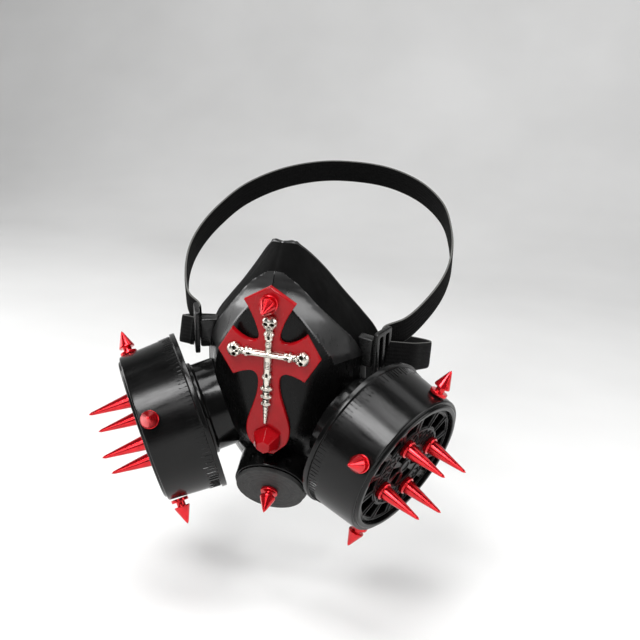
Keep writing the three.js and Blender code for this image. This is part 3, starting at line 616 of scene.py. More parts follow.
def bump(material, heights):
    """Chains bumps given as (height factor, depth in millimetres) into the surface's normal."""
    bsdf = material.node_tree.nodes["Principled BSDF"]
    normal = None
    for height, depth in heights:
        made = node(material, "ShaderNodeBump", {"Strength": 1.0, "Distance": depth * MM})
        link(material, height, made.inputs["Height"])
        if normal:
            link(material, normal, made.inputs["Normal"])
        normal = made.outputs["Normal"]
    link(material, normal, bsdf.inputs["Normal"])


def set_input(material, name, value):
    link(material, value, material.node_tree.nodes["Principled BSDF"].inputs[name])


def moulded(name, dark, light, rough_low, rough_high, grain, grain_depth, coat=0.0, specular=0.5):
    """Black moulded plastic or rubber: cloudy colour, smears in the gloss and a fine skin."""
    material = shader(name, dark, rough_low, coat=coat, coat_roughness=0.12, specular=specular)
    place = coordinates(material)
    clouds = noise(material, place, 14, detail=3)
    smears = noise(material, coordinates(material, (1, 1, 0.35)), 5, detail=5, rough=0.62)
    set_input(material, "Base Color", ramp(material, clouds, [(0.3, dark), (0.72, light)]))
    set_input(material, "Roughness", between(material, smears, rough_low, rough_high))
    bump(material, [(noise(material, place, 9, detail=2), 0.12), (noise(material, place, grain, detail=3),
                                                                  grain_depth)])
    return material


def canister_look():
    """Semi-gloss plastic with fine streaks along the canister's axis."""
    material = shader("canister_plastic", grey(0.003), 0.2, specular=0.24)
    place = coordinates(material)
    streak_place = coordinates(material, (1, 1, 0.06))
    streaks = noise(material, streak_place, 1.1, detail=5, rough=0.7)
    broad = noise(material, place, 16, detail=3)
    set_input(material, "Base Color", ramp(material, broad, [(0.3, grey(0.002)), (0.75, grey(0.005))]))
    set_input(material, "Roughness", between(material, streaks, 0.13, 0.27))
    bump(material, [(streaks, 0.012), (noise(material, place, 0.5, detail=2), 0.008)])
    return material


def red_metal_look():
    """Candy red over bright metal, with small dents in the gloss."""
    material = shader("red_metal", (0.5, 0.006, 0.012), 0.2, metallic=0.75, coat=0.35, coat_roughness=0.1)
    place = coordinates(material)
    clouds = noise(material, place, 3.5, detail=4)
    set_input(material, "Base Color", ramp(material, clouds, [(0.28, (0.5, 0.003, 0.008)), (0.7, (0.8, 0.01,
                                                                                                  0.02))]))
    set_input(material, "Roughness", between(material, noise(material, place, 0.9, detail=3), 0.16, 0.26))
    bump(material, [(noise(material, place, 2.2, detail=2), 0.012)])
    return material


def red_plate_look():
    """Deep red glossy plate with faint clouds and hairline wear."""
    material = shader("red_acrylic", (0.3, 0.003, 0.006), 0.2, coat=0.08, coat_roughness=0.08, specular=0.2)
    place = coordinates(material)
    clouds = noise(material, place, 12, detail=3)
    set_input(material, "Base Color", ramp(material, clouds, [(0.3, (0.26, 0.002, 0.004)), (0.72, (0.35,
                                                                                                   0.004, 0.008))]))
    scratches = noise(material, coordinates(material, (1, 0.12, 1)), 0.8, detail=5, rough=0.7)
    set_input(material, "Roughness", between(material, scratches, 0.12, 0.3))
    bump(material, [(noise(material, place, 6, detail=2), 0.05), (scratches, 0.006)])
    return material


def silver_look():
    """Antiqued silver: bright on the crests and blackened in the recesses."""
    material = shader("antique_silver", (0.6, 0.57, 0.5), 0.3, metallic=1.0)
    place = coordinates(material)
    shade = node(material, "ShaderNodeAmbientOcclusion", {"Distance": 1.6 * MM}, samples=8, only_local=True)
    stain = noise(material, place, 1.4, detail=5, rough=0.7)
    mixed = node(material, "ShaderNodeMath", operation="MULTIPLY_ADD")
    link(material, stain, mixed.inputs[0])
    mixed.inputs[1].default_value = 0.35
    link(material, shade.outputs["AO"], mixed.inputs[2])
    stops = [(0.58, (0.006, 0.006, 0.005)), (0.86, (0.2, 0.185, 0.155)), (1.0, (0.66, 0.63, 0.56))]
    set_input(material, "Base Color", ramp(material, mixed.outputs[0], stops))
    set_input(material, "Roughness", between(material, stain, 0.16, 0.42))
    bump(material, [(noise(material, place, 0.5, detail=3), 0.05)])
    return material


def disc_look():
    """Flat dark grey plastic with faint turned rings."""
    material = shader("valve_grey", grey(0.04), 0.55, specular=0.15)
    place = coordinates(material)
    clouds = noise(material, place, 5, detail=4)
    set_input(material, "Base Color", ramp(material, clouds, [(0.3, grey(0.036)), (0.7, (0.05, 0.05,
                                                                                         0.049))]))
    set_input(material, "Roughness", between(material, noise(material, place, 2, detail=4), 0.45, 0.65))
    rings = node(material, "ShaderNodeTexWave", {"Scale": 200, "Distortion": 0.4, "Detail": 2},
                 wave_type="RINGS", rings_direction="Z")
    link(material, place, rings.inputs["Vector"])
    bump(material, [(rings.outputs["Fac"], 0.015), (noise(material, place, 0.4), 0.02)])
    return material


def webbing_look():
    """Woven elastic: ribs along the strap, picks across it, and lint, with a pale grey along both edges that is
    painted highlight.
    """
    material = shader("webbing", grey(0.004), 0.75, specular=0.02)
    material.node_tree.nodes["Principled BSDF"].inputs["Sheen Weight"].default_value = 0.004
    place = coordinates(material, layer=WEAVE)
    parts = node(material, "ShaderNodeSeparateXYZ")
    link(material, place, parts.inputs["Vector"])
    across = node(material, "ShaderNodeMath", operation="ABSOLUTE")
    link(material, parts.outputs["Y"], across.inputs[0])
    painted_edge_highlight = between(material, across.outputs[0], 0, 1, STRAP_WIDTH / 2 * EDGE_HIGHLIGHT_FROM * MM,
                       STRAP_WIDTH / 2 * EDGE_HIGHLIGHT_FULL * MM)
    ribs = node(material, "ShaderNodeTexWave", {"Scale": 160, "Distortion": 0.3, "Detail": 1},
                bands_direction="Y")
    picks = node(material, "ShaderNodeTexWave", {"Scale": 260, "Distortion": 0.8, "Detail": 2},
                 bands_direction="X")
    link(material, place, ribs.inputs["Vector"])
    link(material, place, picks.inputs["Vector"])
    lint = noise(material, coordinates(material), 1.2, detail=5, rough=0.7)
    cloth = ramp(material, lint, [(0.35, grey(0.002)), (0.75, grey(0.007))])
    # pale grey along both edges of the strap: painted highlight
    colour = node(material, "ShaderNodeMix", {"B": (0.11, 0.11, 0.105, 1)}, data_type="RGBA")
    link(material, painted_edge_highlight, colour.inputs["Factor"])
    link(material, cloth, colour.inputs[6])
    set_input(material, "Base Color", colour.outputs[2])
    set_input(material, "Roughness", between(material, lint, 0.6, 0.85))
    bump(material, [(ribs.outputs["Fac"], 0.18), (picks.outputs["Fac"], 0.1), (lint, 0.05)])
    return material


looks = {
    "rubber_body": moulded("rubber_body", grey(0.002), grey(0.004), 0.2, 0.34, 0.6, 0.01,
                           specular=0.14),
    # A lighter, glossier copy of the body rubber: its lighter colour is painted reflection on the facet and on the
    # rim bead.
    "glossy_rubber_painted_reflection": moulded("glossy_rubber_painted_reflection", grey(0.006), grey(0.012), 0.26, 0.36, 0.6, 0.006,
                            coat=0.3, specular=0.6),
    "rubber_flange": moulded("rubber_flange", grey(0.002), grey(0.005), 0.5, 0.66, 0.45, 0.03,
                             specular=0.03),
    "canister": canister_look(),
    "grille": moulded("grille_plastic", grey(0.002), grey(0.005), 0.22, 0.36, 0.5, 0.015,
                      specular=0.14),
    "fitting": moulded("fitting_plastic", grey(0.002), grey(0.005), 0.1, 0.24, 0.6, 0.012,
                       coat=0.08, specular=0.2),
    "buckle": moulded("buckle_plastic", grey(0.004), grey(0.008), 0.2, 0.36, 0.5, 0.02,
                      coat=0.08, specular=0.25),
    "red_metal": red_metal_look(),
    "red_plate": red_plate_look(),
    "silver": silver_look(),
    "disc": disc_look(),
    "webbing": webbing_look(),
}


def settle(made):
    """Moves a piece's place into its mesh, which then fills its box tightly, and keeps the own places."""
    mesh = made.data
    places = np.empty(len(mesh.vertices) * 3)
    mesh.vertices.foreach_get("co", places)
    layer = mesh.attributes.new(OWN_PLACE, "FLOAT_VECTOR", "POINT")
    layer.data.foreach_set("vector", places)
    mesh.transform(made.matrix_world)
    made.matrix_world = Matrix.Identity(4)


def finish_piece(made, look, slot, *nodes):
    """Gives a piece its material and its place among the CAD nodes. The slot is not used."""
    if look:
        made.data.materials.clear()
        made.data.materials.append(looks[look])
    settle(made)
    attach(made, "root")
    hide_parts(*nodes)
    return made


# Facepiece

panel_back = CROSS_THICK + GAP


def face_point(share, side):
    out, back, down = share if len(share) == 3 else (0, *share)
    return (side * out * FACE_HALF_WIDTH, panel_back + back * FACE_DEPTH, NOSE_TOP - down * FACE_HEIGHT)


def face_surface(steps_across, steps_along):
    """Points of the outer face, indexed [along][across] from the left rim to the right one."""
    sections = []
    for row in FACE_ROWS:
        right = [face_point(row[key], 1) for key in ("shoulder", "cheek", "rim")]
        left = [face_point(row[key], -1) for key in ("rim", "cheek", "shoulder")]
        sections.append(even_points([*left, face_point(row["front"], 1), *right], steps_across))
    sections = np.array(sections)
    columns = [spline_points(sections[:, j], steps_along) for j in range(steps_across + 1)]
    return np.stack(columns, 1)


def surface_normals(grid):
    across = np.gradient(grid, axis=1)
    along = np.gradient(grid, axis=0)
    normals = np.cross(along, across)
    return normals / np.linalg.norm(normals, axis=2, keepdims=True)


def smooth_step(x):
    x = np.clip(x, 0, 1)
    return x * x * (3 - 2 * x)


def face_relief(steps_across, steps_along):
    """How far the outer face stands off its plain form, and where it is flange and where polished facet, painted
    lighter as a reflection.
    """
    along = np.linspace(0, 1, steps_along + 1)[:, None]
    across = np.abs(np.linspace(-1, 1, steps_across + 1))[None, :]
    flange_at = np.interp(along, *zip(*FLANGE_LINE))
    crease_at = np.interp(along, *zip(*CREASE_LINE))
    body = smooth_step((flange_at - across) / FLANGE_STEP_WIDTH + 0.5)
    top = smooth_step((along - FLANGE_LINE[0][0]) / 0.06)
    crease = np.clip(1 - np.abs(across - crease_at) / CREASE_WIDTH, 0, 1)
    crease = crease * smooth_step((along - CREASE_LINE[0][0]) / 0.12)
    crease = crease * smooth_step((CREASE_LINE[-1][0] - along) / 0.12)
    relief = FLANGE_STEP * body * top + CREASE_RISE * crease
    flange = body * top < 0.5
    facet = ~flange & (across > crease_at) & (along < FACET_END)
    return relief, flange, facet


def straight_facet(outer):
    """Draws the facet of each row straight from the crease to the flange line."""
    rows, columns = outer.shape[:2]
    along = np.linspace(0, 1, rows)
    across = np.linspace(-1, 1, columns)
    crease_at = np.interp(along, *zip(*CREASE_LINE))
    flange_at = np.interp(along, *zip(*FLANGE_LINE)) - FLANGE_STEP_WIDTH / 2
    fade = smooth_step((FACET_END - along) / FACET_FADE + 0.5)
    straight = outer.copy()
    for i in range(rows):
        low, high = crease_at[i], flange_at[i]
        if high - low < 4 / columns or along[i] < FLANGE_LINE[0][0]:
            continue
        for side in (-1, 1):
            inside = (across * side >= low) & (across * side <= high)
            start, end = (np.array([np.interp(side * at, across, outer[i, :, k]) for k in range(3)])
                          for at in (low, high))
            share = (np.abs(across[inside]) - low) / (high - low)
            chord = start + (end - start) * share[:, None]
            straight[i, inside] += (chord - outer[i, inside]) * fade[i]
    return straight


def rim_indices(steps_across, steps_along):
    """The grid's border as one loop of (along, across) pairs."""
    loop = [(i, 0) for i in range(steps_along)]
    loop += [(steps_along, j) for j in range(steps_across)]
    loop += [(i, steps_across) for i in range(steps_along, 0, -1)]
    loop += [(0, j) for j in range(steps_across, 0, -1)]
    return loop


def grid_shell(outer, inner, flange, facet):
    """A closed shell between two grids. Flange faces take the second material, facet faces the third, a lighter
    copy of the rubber whose lighter colour is painted reflection.
    """
    rows, columns = outer.shape[:2]
    vertices = [tuple(p) for p in outer.reshape(-1, 3)] + [tuple(p) for p in inner.reshape(-1, 3)]
    offset = rows * columns
    faces = []
    materials = []
    for i in range(rows - 1):
        for j in range(columns - 1):
            a, b, c, d = i * columns + j, i * columns + j + 1, (i + 1) * columns + j + 1, (i + 1) * columns + j
            faces.append((a, b, c, d))
            materials.append(1 if flange[i, j] else 2 if facet[i, j] else 0)
            faces.append((d + offset, c + offset, b + offset, a + offset))
            materials.append(1)
    loop = rim_indices(columns - 1, rows - 1)
    for (i, j), (m, n) in zip(loop, loop[1:] + loop[:1]):
        a, b = i * columns + j, m * columns + n
        faces.append((a, b, b + offset, a + offset))
        materials.append(1)
    return vertices, faces, materials


def face_core():
    """Everything behind the outer face, grown by the gap: what seats on the face is cut with this."""
    steps_across, steps_along = 100, 70
    grid = face_surface(steps_across, steps_along)
    relief, _, _ = face_relief(steps_across, steps_along)
    normals = surface_normals(grid)
    outer = straight_facet(grid + normals * relief[..., None]) + normals * GAP / 2
    rows, columns = outer.shape[:2]
    vertices = [tuple(p) for p in outer.reshape(-1, 3)]
    faces = [(i * columns + j, i * columns + j + 1, (i + 1) * columns + j + 1, (i + 1) * columns + j)
             for i in range(rows - 1) for j in range(columns - 1)]
    vertices.append((0, panel_back + FACE_DEPTH + CORE_SIZE, -SEAT_DROP))
    loop = rim_indices(columns - 1, rows - 1)
    for (i, j), (m, n) in zip(loop, loop[1:] + loop[:1]):
        faces.append((i * columns + j, m * columns + n, len(vertices) - 1))
    core = piece("core", vertices, faces, Matrix.Identity(4), smooth=False)
    clean = bmesh.new()
    clean.from_mesh(core.data)
    bmesh.ops.recalc_face_normals(clean, faces=clean.faces)
    clean.to_mesh(core.data)
    clean.free()
    core.hide_render = True
    return core


def tube_along(name, points, radius, sides, matrix):
    """A closed ring of round section through points that come back to their start."""
    points = np.array(points, float)
    tangents = np.roll(points, -1, 0) - np.roll(points, 1, 0)
    tangents /= np.linalg.norm(tangents, axis=1, keepdims=True)
    side = np.cross(tangents, (0, 1, 0))
    side /= np.linalg.norm(side, axis=1, keepdims=True)
    up = np.cross(side, tangents)
    vertices = []
    for p, s, u in zip(points, side, up):
        for k in range(sides):
            turn = 2 * math.pi * k / sides
            vertices.append(tuple(p + radius * (math.cos(turn) * s + math.sin(turn) * u)))
    count = len(points)
    faces = []
    for i in range(count):
        after = (i + 1) % count
        for k in range(sides):
            beside = (k + 1) % sides
            faces.append((i * sides + k, i * sides + beside, after * sides + beside, after * sides + k))
    return piece(name, vertices, faces, matrix)


def make_facepiece():
    grid = face_surface(FACE_STEPS_ACROSS, FACE_STEPS_ALONG)
    normals = surface_normals(grid)
    relief, flange, facet = face_relief(FACE_STEPS_ACROSS, FACE_STEPS_ALONG)
    raised = grid + normals * relief[..., None]
    outer = straight_facet(raised)
    inner = grid - normals * FACE_WALL + outer - raised
    vertices, faces, materials = grid_shell(outer, inner, flange, facet)
    shell = piece("facepiece_shell", vertices, faces, Matrix.Identity(4), smooth=False)
    shell.data.materials.append(looks["rubber_body"])
    shell.data.materials.append(looks["rubber_flange"])
    shell.data.materials.append(looks["glossy_rubber_painted_reflection"])
    shell.data.polygons.foreach_set("material_index", np.array(materials, dtype=np.int32))
    clean = bmesh.new()
    clean.from_mesh(shell.data)
    bmesh.ops.recalc_face_normals(clean, faces=clean.faces)
    clean.to_mesh(shell.data)
    clean.free()
    reach = CAN_DEPTH + COLLAR_REACH
    for side in (1, -1):
        bore = lathe("bore", [(0, -reach), (PORT_RADIUS, -reach), (PORT_RADIUS, -CAN_DEPTH), (0, -CAN_DEPTH)],
                     96,
                     canister_frame(side))
        cut(shell, bore)
    deep = -HOUSING_REACH - VALVE_DISC_THICK
    bore = lathe("bore", [(0, deep), (VALVE_PORT_RADIUS, deep), (VALVE_PORT_RADIUS, 0), (0, 0)], 96,
                 valve_frame())
    cut(shell, bore)
    shade_smooth(shell, 40)
    loop = rim_indices(FACE_STEPS_ACROSS, FACE_STEPS_ALONG)
    middle = [(outer[i, j] + inner[i, j]) / 2 for i, j in loop]
    bead = tube_along("facepiece_bead", middle[::2], RIM_BEAD, 14, Matrix.Identity(4))
    # the bead takes the lighter rubber, whose lighter colour is a painted reflection along the rim
    bead.data.materials.append(looks["glossy_rubber_painted_reflection"])
    made = joined("facepiece_skin", [shell, bead])
    return finish_piece(made, None, "rubber", "facepiece")


# Spikes, each standing on z = 0 and pointing along +Z

def long_spike(name, matrix):
    foot = LONG_SPIKE_FOOT_THICK
    profile = [(0, 0), (LONG_SPIKE_FOOT_RADIUS, 0), (LONG_SPIKE_FOOT_RADIUS, foot), (LONG_SPIKE_RADIUS, foot),
               (LONG_SPIKE_RADIUS * 0.97, foot + 1), (SPIKE_POINT, LONG_SPIKE_LENGTH - SPIKE_POINT * 1.6),
               (0, LONG_SPIKE_LENGTH)]
    return lathe(name, rounded(profile, SPIKE_BEVEL), SPIKE_SIDES, matrix)


def tree_spike(name, length, matrix):
    foot = TREE_SPIKE_FOOT_THICK
    brow = foot + TREE_SPIKE_WAIST_LENGTH
    profile = [(0, 0), (TREE_SPIKE_FOOT_RADIUS, 0), (TREE_SPIKE_FOOT_RADIUS, foot), (TREE_SPIKE_WAIST_RADIUS,
                                                                                     foot),
               (TREE_SPIKE_WAIST_RADIUS, brow), (TREE_SPIKE_RADIUS, brow), (TREE_SPIKE_RADIUS,
                                                                            brow + SPIKE_BEVEL),
               (SPIKE_POINT, length - SPIKE_POINT * 1.4), (0, length)]
    return lathe(name, rounded(profile, SPIKE_BEVEL * 0.7), SPIKE_SIDES, matrix)


def foot_stud(name, matrix):
    """A blunt cut stud with flat facets."""
    profile = [(0, 0), (FOOT_STUD_RADIUS, 0), (FOOT_STUD_RADIUS, FOOT_STUD_BAND),
               (FOOT_STUD_TIP_RADIUS, FOOT_STUD_LENGTH - 0.4), (0, FOOT_STUD_LENGTH)]
    made = lathe(name, profile, FOOT_STUD_SIDES, matrix)
    bevel(made, 0.35, segments=3, angle=18)
    shade_smooth(made, 20)
    return made


# Canisters, with the axis along +Z and the lip at z = 0

def can_body(name, matrix):
    back = -CAN_DEPTH
    bore = CAN_LIP_RADIUS - CAN_WALL
    seat = -GRILLE_RECESS - GRILLE_THICK - CAN_WALL
    rim = back + CAN_RIM_DEPTH
    bead = -CAN_LIP_HEIGHT
    profile = [
        (PORT_RADIUS, back),
        (CAN_RIM_RADIUS, back),
        (CAN_RIM_RADIUS, rim),
        (CAN_BACK_RADIUS, rim + 0.2),
        (CAN_FRONT_RADIUS + 0.1, bead - 1.5),
        (CAN_FRONT_RADIUS, bead - 0.5),
        (CAN_FRONT_RADIUS - 0.6, bead),
        (CAN_LIP_RADIUS + 0.9, bead - 0.3),
        (CAN_LIP_RADIUS + 0.6, -0.5),
        (CAN_LIP_RADIUS, 0),
        (bore + 0.3, 0),
        (bore, -0.4),
        (bore, seat),
        (CAN_FRONT_RADIUS - CAN_WALL, seat - CAN_WALL),
        (CAN_BACK_RADIUS - CAN_WALL, back + CAN_WALL),
        (PORT_RADIUS, back + CAN_WALL),
    ]
    body = lathe(name, rounded(profile, 0.35, closed=True), CAN_SIDES, matrix, closed=True)
    return joined(name, [body, can_ribs(name + "_ribs", matrix)])


def can_ribs(name, matrix):
    """Fine raised ribs along the axis, of uneven length, next to the back rim."""
    chance = random.Random(7)
    vertices = []
    faces = []
    start = -CAN_DEPTH + CAN_RIM_DEPTH + 0.4
    slope = (CAN_FRONT_RADIUS - CAN_BACK_RADIUS) / (CAN_DEPTH - CAN_RIM_DEPTH - CAN_LIP_HEIGHT)
    for k in range(CAN_RIBS):
        turn = 2 * math.pi * (k + chance.uniform(-0.18, 0.18)) / CAN_RIBS
        length = 4.2 + 2.4 * chance.random() ** 2
        half = CAN_RIB_WIDTH / 2 / CAN_BACK_RADIUS
        base = len(vertices)
        stations = [(start, 0), (start + 0.5, 1), (start + length - 0.9, 1), (start + length, 0)]
        for height, lift in stations:
            wall = CAN_BACK_RADIUS + slope * (height - start)
            for angle, radius in ((-half, wall - 0.15), (-half * 0.5, wall + CAN_RIB_HEIGHT * lift),
                                  (half * 0.5, wall + CAN_RIB_HEIGHT * lift), (half, wall - 0.15)):
                vertices.append((radius * math.cos(turn + angle), radius * math.sin(turn + angle), height))
        for row in range(len(stations) - 1):
            for column in range(3):
                a = base + row * 4 + column
                faces.append((a, a + 1, a + 5, a + 4))
            faces.append((base + row * 4 + 3, base + row * 4, base + row * 4 + 4, base + row * 4 + 7))
        faces.append((base + 3, base + 2, base + 1, base))
        last = base + 4 * (len(stations) - 1)
        faces.append((last, last + 1, last + 2, last + 3))
    return piece(name, vertices, faces, matrix)


def ring_bar(radius, width, height, sides=120):
    """Half-round raised ring on z = 0, as vertices and faces."""
    vertices = []
    section = [(-0.5, -0.3), (-0.35, 0.7), (0, 1), (0.35, 0.7), (0.5, -0.3)]
    for k in range(sides):
        turn = 2 * math.pi * k / sides
        for across, up in section:
            r = radius + across * width
            vertices.append((r * math.cos(turn), r * math.sin(turn), up * height))
    return vertices, band_faces(sides, len(section), closed=True)


def band_faces(count, width, closed):
    faces = []
    for k in range(count if closed else count - 1):
        after = (k + 1) % count
        for s in range(width):
            beside = (s + 1) % width
            faces.append((k * width + s, after * width + s, after * width + beside, k * width + beside))
    if not closed:
        faces.append(tuple(range(width)))
        faces.append(tuple(reversed(range((count - 1) * width, count * width))))
    return faces


def vane(radius_from, radius_to, angle, sweep, width, height):
    """A raised rib on z = 0 that curves as it runs outwards."""
    vertices = []
    section = [(-0.5, -0.3), (-0.3, 0.8), (0, 1), (0.3, 0.8), (0.5, -0.3)]
    steps = 8
    for k in range(steps + 1):
        t = k / steps
        r = radius_from + (radius_to - radius_from) * t
        turn = angle + sweep * t * t
        centre = Vector((r * math.cos(turn), r * math.sin(turn), 0))
        side = Vector((-math.sin(turn), math.cos(turn), 0))
        for across, up in section:
            vertices.append(tuple(centre + side * across * width + Vector((0, 0, up * height))))
    return vertices, band_faces(steps + 1, len(section), closed=False)


def can_grille(name, matrix):
    radius = CAN_LIP_RADIUS - CAN_WALL - GAP
    outlines = [arc(radius, 0, 2 * math.pi, 120)[:-1]]
    for ring in GRILLE_SLOTS:
        pitch = 2 * math.pi / ring["count"]
        half = pitch * ring["open"] / 2
        for k in range(ring["count"]):
            start, end = pitch * k - half, pitch * k + half
            outer = arc(ring["outer"] * radius, start, end, 10)
            inner = arc(ring["inner"] * radius, end, start, 10)
            outlines.append(outer + inner)
    face = -GRILLE_RECESS
    plate = outlined(name, outlines, GRILLE_THICK / 2, 0.3, matrix, lift=face - GRILLE_THICK / 2)
    raised = matrix @ Matrix.Translation((0, 0, face))
    parts = [plate]
    for share in GRILLE_RINGS:
        parts.append(piece(name + "_ring", *ring_bar(share * radius, 1.5, GRILLE_RELIEF), raised))
    inner, outer = GRILLE_RINGS[1] * radius, GRILLE_RINGS[2] * radius
    for k in range(GRILLE_VANES):
        angle = 2 * math.pi * k / GRILLE_VANES
        for sweep in (GRILLE_VANE_SWEEP, -GRILLE_VANE_SWEEP):
            parts.append(piece(name + "_vane", *vane(inner, outer, angle, sweep, 0.9, GRILLE_RELIEF * 0.9),
                               raised))
    for k in range(14):
        angle = 2 * math.pi * (k + 0.5) / 14
        parts.append(piece(name + "_bar", *vane(outer, GRILLE_RINGS[3] * radius, angle, 0, 1.4,
                                                GRILLE_RELIEF), raised))
    return joined(name, parts)


def round_the_can(side, angle):
    return Vector((side * math.cos(angle), math.sin(angle), 0))


def make_canister(side, label, long_spike_turn, side_spikes, core):
    at = canister_frame(side)
    finish_piece(can_body(f"canister_{label}", at), "canister", "canister_plastic", f"canister_body_{label}")
    finish_piece(can_grille(f"grille_{label}", at), "grille", "grille_plastic", f"canister_grille_{label}")
    back = -CAN_DEPTH - COLLAR_REACH
    front = -CAN_DEPTH - GAP
    middle = -CAN_DEPTH - 3
    profile = [(PORT_RADIUS, back), (COLLAR_RADIUS, back), (COLLAR_RADIUS, middle), (COLLAR_RADIUS + 1.4,
                                                                                     middle + 0.8),
               (COLLAR_RADIUS + 1.4, front), (PORT_RADIUS, front)]
    collar = lathe(f"collar_{label}", rounded(profile, 0.5, closed=True), 120, at, closed=True)
    cut(collar, core, keep_cutter=True)
    shade_smooth(collar)
    finish_piece(collar, "fitting", "fitting_plastic", f"canister_collar_{label}")
    pitch = 2 * math.pi / LONG_SPIKES_PER_CAN
    for k in range(LONG_SPIKES_PER_CAN):
        place = round_the_can(side, long_spike_turn + pitch * k) * LONG_SPIKE_CIRCLE
        place.z = -GRILLE_RECESS + GAP
        spike = long_spike(f"spike_{label}_{k + 1}", at @ Matrix.Translation(place))
        finish_piece(spike, "red_metal", "red_metal", f"long_spike_{label}_{k + 1}")
    for k, angle in enumerate(side_spikes):
        outward = round_the_can(side, math.radians(angle))
        place = outward * SIDE_SPIKE_STAND
        place.z = -TREE_SPIKE_BACKSET
        stand = Vector((0, 0, 1)).rotation_difference(outward).to_matrix().to_4x4()
        spike = tree_spike(f"tree_{label}_{k + 1}", TREE_SPIKE_LENGTH, at @ Matrix.Translation(place) @ stand)
        finish_piece(spike, "red_metal", "red_metal", f"tree_spike_{label}_{k + 1}")


# Exhalation valve, with the axis along +Z and the disc's face at z = 0

def make_valve(core):
    at = valve_frame()
    profile = [(0, -VALVE_DISC_THICK), (VALVE_DISC_RADIUS, -VALVE_DISC_THICK), (VALVE_DISC_RADIUS, 0)]
    for k in range(VALVE_DISC_RINGS, 0, -1):
        groove = VALVE_DISC_RADIUS * (0.16 + 0.76 * k / VALVE_DISC_RINGS)
        profile += [(groove + VALVE_DISC_GROOVE_HALF, 0), (groove, -VALVE_DISC_GROOVE),
                    (groove - VALVE_DISC_GROOVE_HALF, 0)]
    profile.append((0, 0))
    disc = lathe("valve_cover", rounded(profile, 0.35), 128, at)
    finish_piece(disc, "disc", "valve_grey", "valve_disc")
    front = -VALVE_DISC_THICK - GAP
    profile = [(HOUSING_RADIUS - HOUSING_WALL, front - HOUSING_REACH), (HOUSING_RADIUS,
                                                                        front - HOUSING_REACH),
               (HOUSING_RADIUS, front), (HOUSING_RADIUS - HOUSING_WALL, front)]
    housing = lathe("valve_seat", rounded(profile, 0.9, closed=True), 128, at, closed=True)
    for k in range(HOUSING_NOTCHES):
        turn = at @ Matrix.Rotation(2 * math.pi * k / HOUSING_NOTCHES, 4, "Z")
        size = (HOUSING_NOTCH_DEPTH * 2, HOUSING_NOTCH_WIDTH, HOUSING_NOTCH_LENGTH)
        cut(housing, rounded_box("notch", size, (HOUSING_RADIUS, 0, front - HOUSING_NOTCH_LENGTH), 0.4, turn))
    cut(housing, core, keep_cutter=True)
    shade_smooth(housing)
    finish_piece(housing, "fitting", "fitting_plastic", "valve_housing")
    spike = tree_spike("valve_stud", VALVE_SPIKE_LENGTH, at @ Matrix.Translation((0, 0, GAP)))
    finish_piece(spike, "red_metal", "red_metal", "valve_spike")


# Cross plate and the cast cross

def cross_share(share, side):
    out, up = share
    return np.array((side * out * CROSS_HALF_WIDTH, up * (CROSS_TOP if up > 0 else CROSS_BOTTOM)))


def cross_half(side, steps=14):
    points = [np.array((0.0, CROSS_TOP))]
    for step in CROSS_OUTLINE:
        hull = [points[-1]] + [cross_share(b, side) for b in step.get("bend", [])] + [cross_share(step["to"],
                                                                                                  side)]
        count = steps if len(hull) > 2 else 1
        for k in range(1, count + 1):
            points.append(bezier(hull, k / count))
    return points


def bezier(hull, t):
    while len(hull) > 1:
        hull = [a + (b - a) * t for a, b in zip(hull, hull[1:])]
    return hull[0]


def make_cross_plate():
    right = cross_half(1)
    left = cross_half(-1)[1:][::-1]
    outline = [tuple(p) for p in right + left]
    plate = outlined("cross_front", [outline], CROSS_THICK / 2, CROSS_BEVEL, cross_frame(),
                     lift=-CROSS_THICK / 2)
    return finish_piece(plate, "red_plate", "red_acrylic", "cross_plate")


def arm_frame(angle):
    return Matrix.Rotation(angle, 4, "Z")


